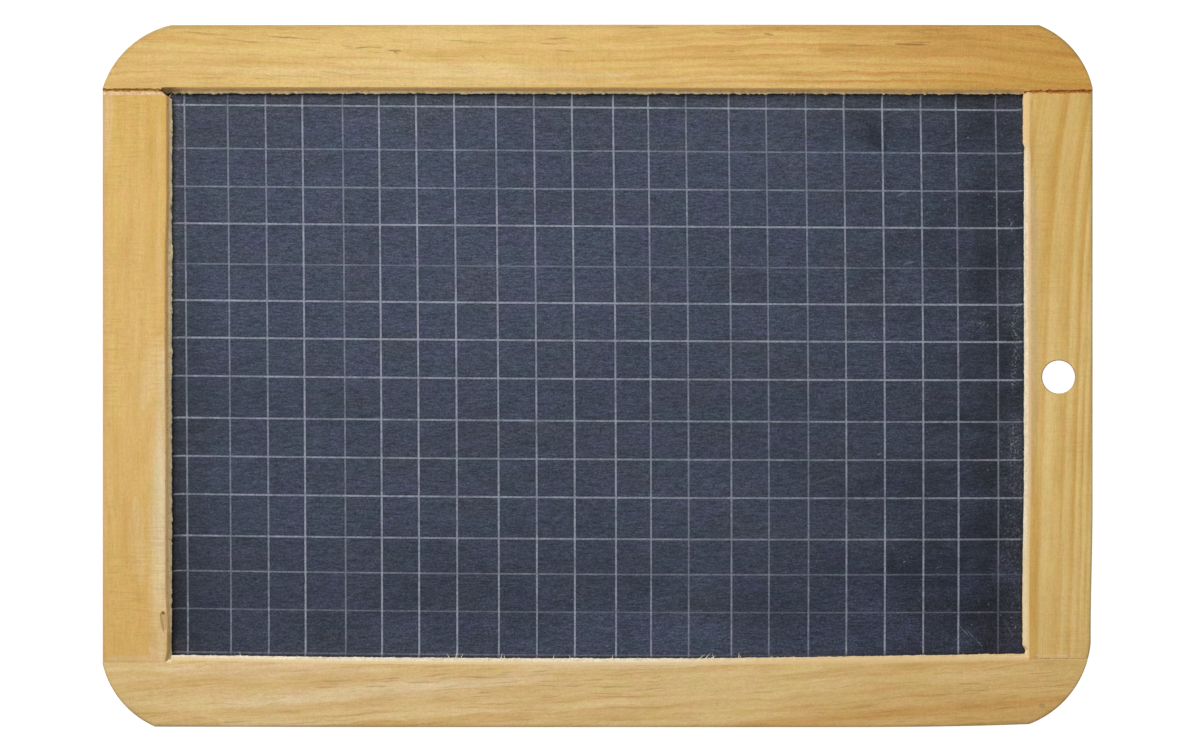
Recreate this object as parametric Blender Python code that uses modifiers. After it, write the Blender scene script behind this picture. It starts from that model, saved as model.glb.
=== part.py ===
"""School slate: a ruled natural slate panel in a grooved pine frame.

The slate lies on its back with the writing face up: +X is the long side to the right,
+Y the short side away from the writer, +Z out of the writing face. The origin is at the
centre of the back. Rails run the whole width and carry open mortises; stiles sit
between them and carry tenons; the slate is held in a groove round the inside edge, and
one wire brad pins each corner from the back.
"""

import bmesh
import bpy
from math import acos, asin, cos, pi, sin
from mathutils import Matrix

MM = 0.001

# ---------------------------------------------------------------- driving dimensions, mm
FRAME_WIDTH = 256.4
FRAME_HEIGHT = 182.0
FRAME_THICKNESS = 9.5

TOP_RAIL_WIDTH = 17.8
BOTTOM_RAIL_WIDTH = 18.2
LEFT_STILE_WIDTH = 17.8
RIGHT_STILE_WIDTH = 18.1

INNER_CHAMFER = 1.7  # 45 degrees, on the front and back inner edges
GROOVE_WIDTH = 4.2
GROOVE_DEPTH = 3.6
SLATE_THICKNESS = 3.6
TENON_THICKNESS = 3.8
FIT_GAP = 0.3  # between pieces that touch

HANG_HOLE_RADIUS = 4.28
HANG_HOLE_X = 119.3
HANG_HOLE_Y = -0.2
HANG_HOLE_SIDES = 48

# Rounded corners, each a little different, as sawn by hand: how far the arc's centre is
# from the side edge and from the top or bottom edge, and the arc's radius.
CORNER_ARCS = {
    "top_left": (23.1, 23.8, 24.2),
    "top_right": (22.3, 21.4, 22.9),
    "bottom_left": (23.0, 21.9, 23.7),
    "bottom_right": (24.7, 24.0, 24.75),
}
CORNER_STEPS = 16

BRAD_FROM_SIDE = 9.5
BRAD_FROM_END = 8.5
BRAD_SHANK_RADIUS = 0.7
BRAD_HEAD_RADIUS = 1.3
BRAD_HEAD_THICKNESS = 0.7
BRAD_RECESS = 0.25  # the head sits this far below the back face
BRAD_TIP_Z = 8.0
BRAD_POINT_LENGTH = 1.6
BRAD_SIDES = 24

# ---------------------------------------------------------------- derived positions, mm
HALF_W = FRAME_WIDTH / 2
HALF_H = FRAME_HEIGHT / 2
MID_Z = FRAME_THICKNESS / 2
TOP_INNER = HALF_H - TOP_RAIL_WIDTH
BOTTOM_INNER = -HALF_H + BOTTOM_RAIL_WIDTH
LEFT_INNER = -HALF_W + LEFT_STILE_WIDTH
RIGHT_INNER = HALF_W - RIGHT_STILE_WIDTH
SLATE_HOLD = GROOVE_DEPTH - FIT_GAP  # how far the slate reaches into the groove
OVER = 1.0  # how far cutters and blanks run past what they cut

PINE_TOP = ((0.68, 0.46, 0.17, 1.0), 0.55)
PINE_BOTTOM = ((0.62, 0.44, 0.21, 1.0), 0.58)
PINE_LEFT = ((0.67, 0.46, 0.18, 1.0), 0.55)
PINE_RIGHT = ((0.60, 0.40, 0.14, 1.0), 0.56)
SLATE_GREY = ((0.072, 0.083, 0.115, 1.0), 0.62)
STEEL = ((0.42, 0.41, 0.40, 1.0), 0.38)

# ---------------------------------------------------------------- scene and collections
for old in list(bpy.data.objects):
    bpy.data.objects.remove(old, do_unlink=True)

parts = bpy.data.collections.new("school_slate")
cutters = bpy.data.collections.new("school_slate_cutters")
bpy.context.scene.collection.children.link(parts)
bpy.context.scene.collection.children.link(cutters)

# Turns a section drawn in local X, Y so that it runs along world X or world Y.
ALONG_X = Matrix(((0, 0, 1, 0), (1, 0, 0, 0), (0, 1, 0, 0), (0, 0, 0, 1)))
ALONG_Y = Matrix.Rotation(pi / 2, 4, "X")


def principled(name, colour, roughness, metallic=0.0):
    material = bpy.data.materials.new(name)
    material.use_nodes = True
    shader = material.node_tree.nodes["Principled BSDF"]
    shader.inputs["Base Color"].default_value = colour
    shader.inputs["Roughness"].default_value = roughness
    shader.inputs["Metallic"].default_value = metallic
    material.diffuse_color = colour
    return material


def as_cutter(obj):
    obj.hide_render = True
    obj.display_type = "WIRE"
    return obj


def block(name, low, high, collection):
    """A box between two corners given in millimetres."""
    size = [(b - a) * MM for a, b in zip(low, high)]
    middle = [(a + b) / 2 * MM for a, b in zip(low, high)]
    mesh = bpy.data.meshes.new(name)
    bm = bmesh.new()
    bmesh.ops.create_cube(bm, size=1.0, matrix=Matrix.Diagonal((*size, 1.0)))
    bm.to_mesh(mesh)
    bm.free()
    obj = bpy.data.objects.new(name, mesh)
    obj.location = middle
    collection.objects.link(obj)
    return obj


def plate(name, points, thickness, matrix, collection):
    """A flat outline in millimetres, extruded evenly to both sides of its plane, as a mesh."""
    curve = bpy.data.curves.new(name + "_outline", "CURVE")
    curve.dimensions = "2D"
    curve.fill_mode = "BOTH"
    curve.extrude = thickness * MM / 2
    spline = curve.splines.new("POLY")
    spline.points.add(len(points) - 1)
    for p, (x, y) in zip(spline.points, points):
        p.co = (x * MM, y * MM, 0.0, 1.0)
    spline.use_cyclic_u = True
    drawn = bpy.data.objects.new(name + "_outline", curve)
    drawn.matrix_world = matrix
    collection.objects.link(drawn)
    bpy.context.view_layer.update()
    graph = bpy.context.evaluated_depsgraph_get()
    mesh = bpy.data.meshes.new_from_object(drawn.evaluated_get(graph))
    mesh.name = name
    bm = bmesh.new()
    bm.from_mesh(mesh)
    bmesh.ops.remove_doubles(bm, verts=bm.verts, dist=1e-6)
    bmesh.ops.recalc_face_normals(bm, faces=bm.faces)
    bm.to_mesh(mesh)
    bm.free()
    obj = bpy.data.objects.new(name, mesh)
    obj.matrix_world = drawn.matrix_world
    collection.objects.link(obj)
    bpy.data.objects.remove(drawn, do_unlink=True)
    return obj


def turned(name, profile, x, y, collection):
    """A shape turned about Z from (radius, height) points, top to bottom, in millimetres."""
    mesh = bpy.data.meshes.new(name)
    bm = bmesh.new()
    verts = [bm.verts.new((r * MM, 0.0, z * MM)) for r, z in profile]
    for a, b in zip(verts, verts[1:]):
        bm.edges.new((a, b))
    bm.to_mesh(mesh)
    bm.free()
    obj = bpy.data.objects.new(name, mesh)
    obj.location = (x * MM, y * MM, 0.0)
    collection.objects.link(obj)
    screw = obj.modifiers.new("turn", "SCREW")
    screw.axis = "Z"
    screw.angle = 2 * pi
    screw.steps = BRAD_SIDES
    screw.render_steps = BRAD_SIDES
    screw.use_merge_vertices = True
    screw.merge_threshold = 1e-6
    screw.use_smooth_shade = True
    return obj


def cut(obj, tool, operation="DIFFERENCE"):
    boolean = obj.modifiers.new(tool.name, "BOOLEAN")
    boolean.operation = operation
    boolean.solver = "EXACT"
    boolean.object = tool


def corner(side, end, key):
    """Points of one rounded corner, from the side edge round to the top or bottom edge."""
    from_side, from_end, radius = CORNER_ARCS[key]
    first, last = acos(from_side / radius), asin(from_end / radius)
    cx, cy = HALF_W - from_side, HALF_H - from_end
    angles = [first + (last - first) * i / CORNER_STEPS for i in range(CORNER_STEPS + 1)]
    return [(side * (cx + radius * cos(a)), end * (cy + radius * sin(a))) for a in angles]


# ---------------------------------------------------------------- frame outline and cutters
outline = (
    corner(1, 1, "top_right")
    + corner(-1, 1, "top_left")[::-1]
    + corner(-1, -1, "bottom_left")
    + corner(1, -1, "bottom_right")[::-1]
)
silhouette = as_cutter(
    plate(
        "frame_silhouette",
        outline,
        FRAME_THICKNESS + 2 * OVER,
        Matrix.Translation((0, 0, MID_Z * MM)),
        cutters,
    )
)


def chamfer_points(edge, inward, z_face, z_out):
    """Triangle that takes a 45 degree chamfer off an inner edge. inward is the direction,
    across the member, from its inner edge into the wood; z_out is +1 at the front face
    and -1 at the back face."""
    c = INNER_CHAMFER
    low = (edge - inward * OVER, z_face - z_out * (c + OVER))
    far = (edge + inward * (c + OVER), z_face + z_out * OVER)
    return [low, far, (edge - inward * OVER, z_face + z_out * OVER)]


def shoulder_points(rail_edge, outward, z_out):
    """Section of the wood taken off one cheek of a stile's end: it leaves the tenon and a
    shoulder coped to lie on the rail's chamfer. outward is +1 at the top end."""
    c = INNER_CHAMFER
    stop = rail_edge - outward * FIT_GAP
    past = outward * (HALF_H + 3 * OVER)
    z_tenon = MID_Z + z_out * TENON_THICKNESS / 2
    z_face = MID_Z + z_out * FRAME_THICKNESS / 2
    return [
        (stop, z_tenon),
        (stop, z_face - z_out * c),
        (stop + outward * (c + OVER), z_face + z_out * OVER),
        (past, z_face + z_out * OVER),
        (past, z_tenon),
    ]


FACES = {"front": (FRAME_THICKNESS, 1), "back": (0.0, -1)}


def brad_profile(grow):
    """(radius, height) of a brad, point up, grown all round for the hole that it sits in."""
    shank, head = BRAD_SHANK_RADIUS + grow, BRAD_HEAD_RADIUS + grow
    under_head = BRAD_RECESS + BRAD_HEAD_THICKNESS + grow
    tip = BRAD_TIP_Z + grow
    base = BRAD_RECESS if grow == 0 else -OVER
    return [
        (0.0, tip),
        (shank * 0.35, tip - 0.25 * BRAD_POINT_LENGTH),
        (shank, tip - BRAD_POINT_LENGTH),
        (shank, under_head),
        (head, under_head),
        (head, base),
        (0.0, base),
    ]


CORNERS = {
    "top_left": (-1, 1),
    "top_right": (1, 1),
    "bottom_left": (-1, -1),
    "bottom_right": (1, -1),
}
brad_holes = {}
for key, (side, end) in CORNERS.items():
    bx, by = side * (HALF_W - BRAD_FROM_SIDE), end * (HALF_H - BRAD_FROM_END)
    brad_holes[key] = as_cutter(
        turned("brad_hole_" + key, brad_profile(0.2), bx, by, cutters)
    )

# ---------------------------------------------------------------- rails
for name, inner, end, look in (
    ("top_rail", TOP_INNER, 1, PINE_TOP),
    ("bottom_rail", BOTTOM_INNER, -1, PINE_BOTTOM),
):
    outer = end * (HALF_H + OVER)
    rail = block(
        name,
        (-HALF_W - OVER, min(inner, outer), 0.0),
        (HALF_W + OVER, max(inner, outer), FRAME_THICKNESS),
        parts,
    )
    cut(rail, silhouette, "INTERSECT")

    groove_floor = inner + end * GROOVE_DEPTH
    mouth = inner - end * OVER
    groove = block(
        name + "_groove",
        (-HALF_W - 2 * OVER, min(mouth, groove_floor), MID_Z - GROOVE_WIDTH / 2),
        (HALF_W + 2 * OVER, max(mouth, groove_floor), MID_Z + GROOVE_WIDTH / 2),
        cutters,
    )
    cut(rail, as_cutter(groove))

    # Open mortises: each takes the stile's tenon, which starts at the stile's groove.
    half_slot = TENON_THICKNESS / 2 + FIT_GAP
    through = end * (HALF_H + 2 * OVER)
    y_low, y_high = min(inner - end * OVER, through), max(inner - end * OVER, through)
    for side, wall in (
        (-1, LEFT_INNER - GROOVE_DEPTH + FIT_GAP),
        (1, RIGHT_INNER + GROOVE_DEPTH - FIT_GAP),
    ):
        past = side * (HALF_W + 2 * OVER)
        mortise = block(
            name + ("_left_mortise" if side < 0 else "_right_mortise"),
            (min(past, wall), y_low, MID_Z - half_slot),
            (max(past, wall), y_high, MID_Z + half_slot),
            cutters,
        )
        cut(rail, as_cutter(mortise))

    for face, (z_face, z_out) in FACES.items():
        tool = plate(
            f"{name}_{face}_chamfer",
            chamfer_points(inner, end, z_face, z_out),
            FRAME_WIDTH + 4 * OVER,
            ALONG_X,
            cutters,
        )
        cut(rail, as_cutter(tool))

    for key, (side, corner_end) in CORNERS.items():
        if corner_end == end:
            cut(rail, brad_holes[key])
    rail.data.materials.append(principled("pine_" + name, *look))

# ---------------------------------------------------------------- stiles
for name, inner, side, look in (
    ("left_stile", LEFT_INNER, -1, PINE_LEFT),
    ("right_stile", RIGHT_INNER, 1, PINE_RIGHT),
):
    outer = side * (HALF_W + OVER)
    stile = block(
        name,
        (min(inner, outer), -HALF_H - OVER, 0.0),
        (max(inner, outer), HALF_H + OVER, FRAME_THICKNESS),
        parts,
    )
    cut(stile, silhouette, "INTERSECT")

    middle_x = side * HALF_W
    for end_name, rail_edge, outward in (
        ("top", TOP_INNER, 1),
        ("bottom", BOTTOM_INNER, -1),
    ):
        for face, (z_face, z_out) in FACES.items():
            tool = plate(
                f"{name}_{end_name}_{face}_shoulder",
                shoulder_points(rail_edge, outward, z_out),
                60.0,
                Matrix.Translation((middle_x * MM, 0, 0)) @ ALONG_X,
                cutters,
            )
            cut(stile, as_cutter(tool))

    groove_floor = inner + side * GROOVE_DEPTH
    mouth = inner - side * OVER
    groove = block(
        name + "_groove",
        (min(mouth, groove_floor), -HALF_H - 2 * OVER, MID_Z - GROOVE_WIDTH / 2),
        (max(mouth, groove_floor), HALF_H + 2 * OVER, MID_Z + GROOVE_WIDTH / 2),
        cutters,
    )
    cut(stile, as_cutter(groove))

    for face, (z_face, z_out) in FACES.items():
        tool = plate(
            f"{name}_{face}_chamfer",
            chamfer_points(inner, side, z_face, z_out),
            FRAME_HEIGHT + 4 * OVER,
            ALONG_Y,
            cutters,
        )
        cut(stile, as_cutter(tool))

    if side > 0:
        drill = bpy.data.meshes.new("hanging_hole")
        bm = bmesh.new()
        bmesh.ops.create_cone(
            bm,
            cap_ends=True,
            segments=HANG_HOLE_SIDES,
            radius1=HANG_HOLE_RADIUS * MM,
            radius2=HANG_HOLE_RADIUS * MM,
            depth=(FRAME_THICKNESS + 4 * OVER) * MM,
        )
        bm.to_mesh(drill)
        bm.free()
        hole = bpy.data.objects.new("hanging_hole", drill)
        hole.location = (HANG_HOLE_X * MM, HANG_HOLE_Y * MM, MID_Z * MM)
        cutters.objects.link(hole)
        cut(stile, as_cutter(hole))

    for key, (corner_side, _) in CORNERS.items():
        if corner_side == side:
            cut(stile, brad_holes[key])
    stile.data.materials.append(principled("pine_" + name, *look))

# ---------------------------------------------------------------- slate panel
slate = block(
    "slate_panel",
    (LEFT_INNER - SLATE_HOLD, BOTTOM_INNER - SLATE_HOLD, MID_Z - SLATE_THICKNESS / 2),
    (RIGHT_INNER + SLATE_HOLD, TOP_INNER + SLATE_HOLD, MID_Z + SLATE_THICKNESS / 2),
    parts,
)
slate.data.materials.append(principled("ruled_slate", *SLATE_GREY))

# ---------------------------------------------------------------- corner brads
for key, (side, end) in CORNERS.items():
    bx, by = side * (HALF_W - BRAD_FROM_SIDE), end * (HALF_H - BRAD_FROM_END)
    brad = turned("brad_" + key, brad_profile(0.0), bx, by, parts)
    brad.data.materials.append(principled("steel_brad_" + key, *STEEL, 1.0))
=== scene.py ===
"""Looks of the school slate: worn pine frame and ruled natural slate."""

import math

import bmesh
import bpy
import numpy as np
from mathutils import Matrix, Vector


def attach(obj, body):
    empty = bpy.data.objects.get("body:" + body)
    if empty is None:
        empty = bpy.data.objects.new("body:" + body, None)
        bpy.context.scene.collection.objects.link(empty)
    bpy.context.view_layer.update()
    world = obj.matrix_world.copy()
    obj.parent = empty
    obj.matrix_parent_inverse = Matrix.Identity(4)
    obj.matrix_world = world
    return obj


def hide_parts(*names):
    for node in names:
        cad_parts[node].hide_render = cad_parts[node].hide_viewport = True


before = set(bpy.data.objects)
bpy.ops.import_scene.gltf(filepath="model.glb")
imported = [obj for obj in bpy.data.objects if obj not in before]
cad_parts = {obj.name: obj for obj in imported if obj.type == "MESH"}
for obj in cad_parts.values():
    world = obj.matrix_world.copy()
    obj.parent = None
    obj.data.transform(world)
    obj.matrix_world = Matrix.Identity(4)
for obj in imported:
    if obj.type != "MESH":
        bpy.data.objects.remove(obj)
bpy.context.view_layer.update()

MM = 0.001

# ------------------------------------------------------------------ measures, millimetres
T = 9.5
MID = T / 2
CHAMFER = 1.7
GROOVE_HALF = 2.1
GROOVE_DEEP = 3.6
TENON_HALF = 1.95
HALF_W = 128.2
HALF_H = 91.0
Z_CH = T - CHAMFER
Z_GT = MID + GROOVE_HALF
Z_GB = MID - GROOVE_HALF
SLATE_TOP = MID + 1.8
SLATE_BOT = MID - 1.8
MORTISE_L = -113.76
MORTISE_R = 113.46
FLOOR_L, FLOOR_R = -113.80, 113.50  # where the stiles' grooves end
HOLE = (119.42, -0.30, 4.28)
BRADS = {
    "top_left": (-118.7, 82.5),
    "top_right": (118.7, 82.5),
    "bottom_left": (-118.7, -82.5),
    "bottom_right": (118.7, -82.5),
}
# centre x, centre y, radius of each rounded corner
ARC = {
    "tl": (-105.08, 67.21, 24.24),
    "tr": (105.86, 69.61, 22.87),
    "bl": (-105.18, -69.15, 23.65),
    "br": (102.96, -66.96, 24.85),
}


# ------------------------------------------------------------------ repeatable noise
class Wobble:
    """Smooth repeatable noise of one number, from -1 to 1."""

    def __init__(self, seed):
        self.v = np.random.RandomState(seed).uniform(-1, 1, 2048)

    def __call__(self, x):
        x = np.asarray(x, float) + 700.0
        i = np.floor(x).astype(int)
        f = x - i
        f = f * f * (3 - 2 * f)
        return self.v[i % 2048] * (1 - f) + self.v[(i + 1) % 2048] * f


def layered(x, seed, step, octaves=4, gain=0.55):
    """Sum of noises, the first with the given step length."""
    total, size, norm = 0.0, 1.0, 0.0
    for k in range(octaves):
        total = total + size * Wobble(seed * 31 + k)(np.asarray(x, float) / step * 2**k)
        norm += size
        size *= gain
    return total / norm


def smooth(a, b, x):
    t = np.clip((np.asarray(x, float) - a) / (b - a), 0, 1)
    return t * t * (3 - 2 * t)


# ------------------------------------------------------------------ outlines of the frame
def y_top(x):
    x = np.asarray(x, float)
    y = 90.98 - 0.12 * ((x - 10) / 110) ** 2
    for cx, cy, r in (ARC["tl"], ARC["tr"]):
        s = -1 if cx < 0 else 1
        d = np.clip(s * (x - cx), 0, r)
        arc = cy + np.sqrt(np.maximum(r * r - d * d, 0))
        y = np.where(s * (x - cx) > 0, np.minimum(y, arc), y)
    return y


def y_bottom(x):
    x = np.asarray(x, float)
    y = -90.98 + 0.10 * (np.clip(-x - 20, 0, 200) / 84) ** 2
    y = y + 0.8 * (np.clip(x - 62, 0, 60) / 50) ** 2.5
    for cx, cy, r in (ARC["bl"], ARC["br"]):
        s = -1 if cx < 0 else 1
        d = np.clip(s * (x - cx), 0, r)
        arc = cy - np.sqrt(np.maximum(r * r - d * d, 0))
        y = np.where(s * (x - cx) > 0, np.maximum(y, arc), y)
    return y


def x_left(y):
    y = np.asarray(y, float)
    x = np.full_like(y, -128.18)
    for cx, cy, r in (ARC["tl"], ARC["bl"]):
        s = 1 if cy > 0 else -1
        d = np.clip(s * (y - cy), 0, r)
        arc = cx - np.sqrt(np.maximum(r * r - d * d, 0))
        x = np.where(s * (y - cy) > 0, np.maximum(x, arc), x)
    return x


def x_right(y):
    y = np.asarray(y, float)
    x = 128.2 - 0.48 * smooth(-34, -67, y)
    for cx, cy, r in (ARC["tr"], ARC["br"]):
        s = 1 if cy > 0 else -1
        d = np.clip(s * (y - cy), 0, r)
        arc = cx + np.sqrt(np.maximum(r * r - d * d, 0))
        x = np.where(s * (y - cy) > 0, np.minimum(x, arc), x)
    return x


# inner edges, where the lip stands over the slate
def in_top(x):
    return 73.15 - 0.13 * smooth(-95, 95, x) + 0.08 * layered(x, 11, 60, 2)


LOWER_LIP = (
    (-128, -104, -68, -37, -6, 25, 56, 87, 105, 128),
    (-72.33, -72.38, -72.84, -73.05, -73.14, -73.18, -72.84, -72.36, -72.08, -71.95),
)


def in_bottom(x):
    return np.interp(x, *LOWER_LIP) + 0.06 * layered(x, 12, 40, 2)


def in_left(y):
    return -110.28 + 0.07 * layered(y, 13, 50, 2)


def in_right(y):
    return 110.50 - 0.40 * smooth(-24, -56, y) + 0.06 * layered(y, 14, 50, 2)


# ------------------------------------------------------------------ small mesh builder
class Mesh:
    def __init__(self):
        self.v, self.f, self.m, self.e, self.n = [], [], [], [], 0

    def points(self, p, edge=0.0):
        p = np.asarray(p, float).reshape(-1, 3)
        self.v.append(p)
        self.e.append(np.broadcast_to(edge, len(p)).astype(float).copy())
        first = self.n
        self.n += len(p)
        return np.arange(first, self.n)

    def face(self, ids, mat=0):
        ids = [int(i) for i in ids]
        ids = [i for n, i in enumerate(ids) if i != ids[n - 1]]
        if len(set(ids)) == len(ids) > 2:
            self.f.append(tuple(ids))
            self.m.append(mat)

    def strip(self, a, b, mat=0):
        """Quads between two rows of the same length."""
        for i in range(len(a) - 1):
            self.face((a[i], a[i + 1], b[i + 1], b[i]), mat)

    def object(self, name, materials, weld=2e-6, sharp=38):
        mesh = bpy.data.meshes.new(name)
        mesh.from_pydata((np.vstack(self.v) * MM).tolist(), [], self.f)
        for m in materials:
            mesh.materials.append(m)
        mesh.polygons.foreach_set("material_index", np.array(self.m, np.int32))
        worn = mesh.attributes.new("edge", "FLOAT", "POINT")
        worn.data.foreach_set("value", np.concatenate(self.e).astype(np.float32))
        bm = bmesh.new()
        bm.from_mesh(mesh)
        bmesh.ops.remove_doubles(bm, verts=bm.verts, dist=weld)
        bmesh.ops.dissolve_degenerate(bm, edges=bm.edges, dist=weld)
        loose = [v for v in bm.verts if not v.link_faces]
        bmesh.ops.delete(bm, geom=loose, context="VERTS")
        bmesh.ops.recalc_face_normals(bm, faces=bm.faces)
        bm.to_mesh(mesh)
        bm.free()
        mesh.shade_smooth()
        mesh.set_sharp_from_angle(angle=math.radians(sharp))
        obj = bpy.data.objects.new(name, mesh)
        bpy.context.scene.collection.objects.link(obj)
        return obj


def graft(obj, mesh):
    """Adds more closed shells to a piece, with the piece's own materials."""
    extra = mesh.object("graft", list(obj.data.materials))
    bm = bmesh.new()
    bm.from_mesh(obj.data)
    bm.from_mesh(extra.data)
    bm.to_mesh(obj.data)
    bm.free()
    gone = extra.data
    bpy.data.objects.remove(extra, do_unlink=True)
    bpy.data.meshes.remove(gone)
    obj.data.shade_smooth()
    obj.data.set_sharp_from_angle(angle=math.radians(38))


def carve(obj, tool):
    """Takes a closed shape out of a piece for good, and drops the shape."""
    tool.hide_render = True
    mod = obj.modifiers.new("carve", "BOOLEAN")
    mod.operation = "DIFFERENCE"
    mod.solver = "EXACT"
    mod.object = tool
    bpy.context.view_layer.update()
    graph = bpy.context.evaluated_depsgraph_get()
    made = bpy.data.meshes.new_from_object(obj.evaluated_get(graph))
    obj.modifiers.clear()
    old = obj.data
    obj.data = made
    made.name = old.name
    bpy.data.meshes.remove(old)
    gone = tool.data
    bpy.data.objects.remove(tool, do_unlink=True)
    bpy.data.meshes.remove(gone)
    made.shade_smooth()
    made.set_sharp_from_angle(angle=math.radians(38))


def lathe(name, profile, x, y, sides, material=None):
    """A closed turned shape about an upright axis, from (radius, height) points."""
    m = Mesh()
    rows = []
    a = np.arange(sides) / sides * 2 * math.pi
    for r, z in profile:
        if r < 1e-6:
            rows.append(m.points([(x, y, z)] * 1))
        else:
            rows.append(
                m.points(np.c_[x + r * np.cos(a), y + r * np.sin(a), np.full(sides, z)])
            )
    for p, q in zip(rows, rows[1:]):
        for i in range(sides):
            j = (i + 1) % sides
            if len(p) == 1:
                m.face((p[0], q[i], q[j]))
            elif len(q) == 1:
                m.face((p[i], p[j], q[0]))
            else:
                m.face((p[i], p[j], q[j], q[i]))
    return m.object(name, [material] if material else [])


# ------------------------------------------------------------------ material nodes
def lin(r, g, b):
    def one(c):
        c /= 255
        return c / 12.92 if c <= 0.04045 else ((c + 0.055) / 1.055) ** 2.4

    return (one(r), one(g), one(b), 1.0)


class Look:
    """Short hand for one node material."""

    def __init__(self, name):
        self.mat = bpy.data.materials.new(name)
        self.mat.use_nodes = True
        self.t = self.mat.node_tree
        self.bsdf = self.t.nodes["Principled BSDF"]

    def put(self, socket, value):
        if isinstance(value, bpy.types.NodeSocket):
            self.t.links.new(value, socket)
        else:
            socket.default_value = value

    def math(self, op, a, b=0.0, c=0.0, clamp=False):
        n = self.t.nodes.new("ShaderNodeMath")
        n.operation, n.use_clamp = op, clamp
        for s, v in zip(n.inputs, (a, b, c)):
            self.put(s, v)
        return n.outputs[0]

    def add(self, a, b):
        return self.math("ADD", a, b)

    def mul(self, a, b):
        return self.math("MULTIPLY", a, b)

    def mm(self):
        """Object coordinates in millimetres, as three sockets."""
        c = self.t.nodes.new("ShaderNodeTexCoord")
        s = self.t.nodes.new("ShaderNodeVectorMath")
        s.operation = "SCALE"
        self.t.links.new(c.outputs["Object"], s.inputs[0])
        s.inputs["Scale"].default_value = 1000.0
        x = self.t.nodes.new("ShaderNodeSeparateXYZ")
        self.t.links.new(s.outputs[0], x.inputs[0])
        return x.outputs[0], x.outputs[1], x.outputs[2]

    def vec(self, x, y, z):
        n = self.t.nodes.new("ShaderNodeCombineXYZ")
        for s, v in zip(n.inputs, (x, y, z)):
            self.put(s, v)
        return n.outputs[0]

    def noise(self, x, y, z, sx, sy, sz, detail=2.0, rough=0.5, seed=0.0, warp=0.0):
        """Noise whose cells are 1/s millimetres along each axis."""
        n = self.t.nodes.new("ShaderNodeTexNoise")
        n.noise_dimensions = "3D"
        self.put(
            n.inputs["Vector"],
            self.vec(
                self.math("MULTIPLY_ADD", x, sx, seed * 7.31),
                self.math("MULTIPLY_ADD", y, sy, seed * 3.17),
                self.math("MULTIPLY_ADD", z, sz, seed * 5.73),
            ),
        )
        n.inputs["Scale"].default_value = 1.0
        n.inputs["Detail"].default_value = detail
        n.inputs["Roughness"].default_value = rough
        n.inputs["Distortion"].default_value = warp
        return n.outputs["Fac"]

    def span(self, v, a, b, lo=0.0, hi=1.0, soft=True):
        n = self.t.nodes.new("ShaderNodeMapRange")
        n.interpolation_type = "SMOOTHSTEP" if soft else "LINEAR"
        n.clamp = True
        for s, x in zip(n.inputs, (v, a, b, lo, hi)):
            self.put(s, x)
        return n.outputs[0]

    def ramp(self, v, stops, mode="LINEAR"):
        n = self.t.nodes.new("ShaderNodeValToRGB")
        n.color_ramp.interpolation = mode
        e = n.color_ramp.elements
        while len(e) < len(stops):
            e.new(0.5)
        for el, (p, c) in zip(e, stops):
            el.position = p
            el.color = c if len(c) == 4 else (*c, 1.0)
        self.put(n.inputs[0], v)
        return n.outputs[0]

    def grey(self, v, stops, mode="LINEAR"):
        return self.ramp(v, [(p, (g, g, g, 1.0)) for p, g in stops], mode)

    def mix(self, fac, a, b, blend="MIX"):
        n = self.t.nodes.new("ShaderNodeMix")
        n.data_type, n.blend_type = "RGBA", blend
        n.clamp_factor = True
        self.put(n.inputs[0], fac)
        self.put(n.inputs[6], a)
        self.put(n.inputs[7], b)
        return n.outputs[2]

    def bump(self, height, strength, distance):
        n = self.t.nodes.new("ShaderNodeBump")
        n.inputs["Strength"].default_value = strength
        n.inputs["Distance"].default_value = distance
        self.put(n.inputs["Height"], height)
        self.t.links.new(n.outputs[0], self.bsdf.inputs["Normal"])

    def done(self, colour, roughness, specular=0.3):
        self.put(self.bsdf.inputs["Base Color"], colour)
        self.put(self.bsdf.inputs["Roughness"], roughness)
        self.bsdf.inputs["Specular IOR Level"].default_value = specular
        return self.mat


def stroke(k, x, y, p, q, w, ragged=None, inner=0.35):
    """1 on a thin line from p to q, fading at w millimetres from it."""
    lx, ly = q[0] - p[0], q[1] - p[1]
    size = lx * lx + ly * ly
    dx, dy = k.math("SUBTRACT", x, p[0]), k.math("SUBTRACT", y, p[1])
    t = k.math("ADD", k.mul(dx, lx / size), k.mul(dy, ly / size), clamp=True)
    ex = k.math("SUBTRACT", dx, k.mul(t, lx))
    ey = k.math("SUBTRACT", dy, k.mul(t, ly))
    d = k.math("SQRT", k.add(k.mul(ex, ex), k.mul(ey, ey)))
    if ragged is not None:
        d = k.add(d, ragged)
    # thinner at both ends
    taper = k.mul(k.mul(t, k.math("SUBTRACT", 1.0, t)), 4.0)
    reach = k.math("MULTIPLY_ADD", taper, w * 0.75, w * 0.25)
    return k.span(k.math("DIVIDE", d, reach), inner, 1.0, 1.0, 0.0)


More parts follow.
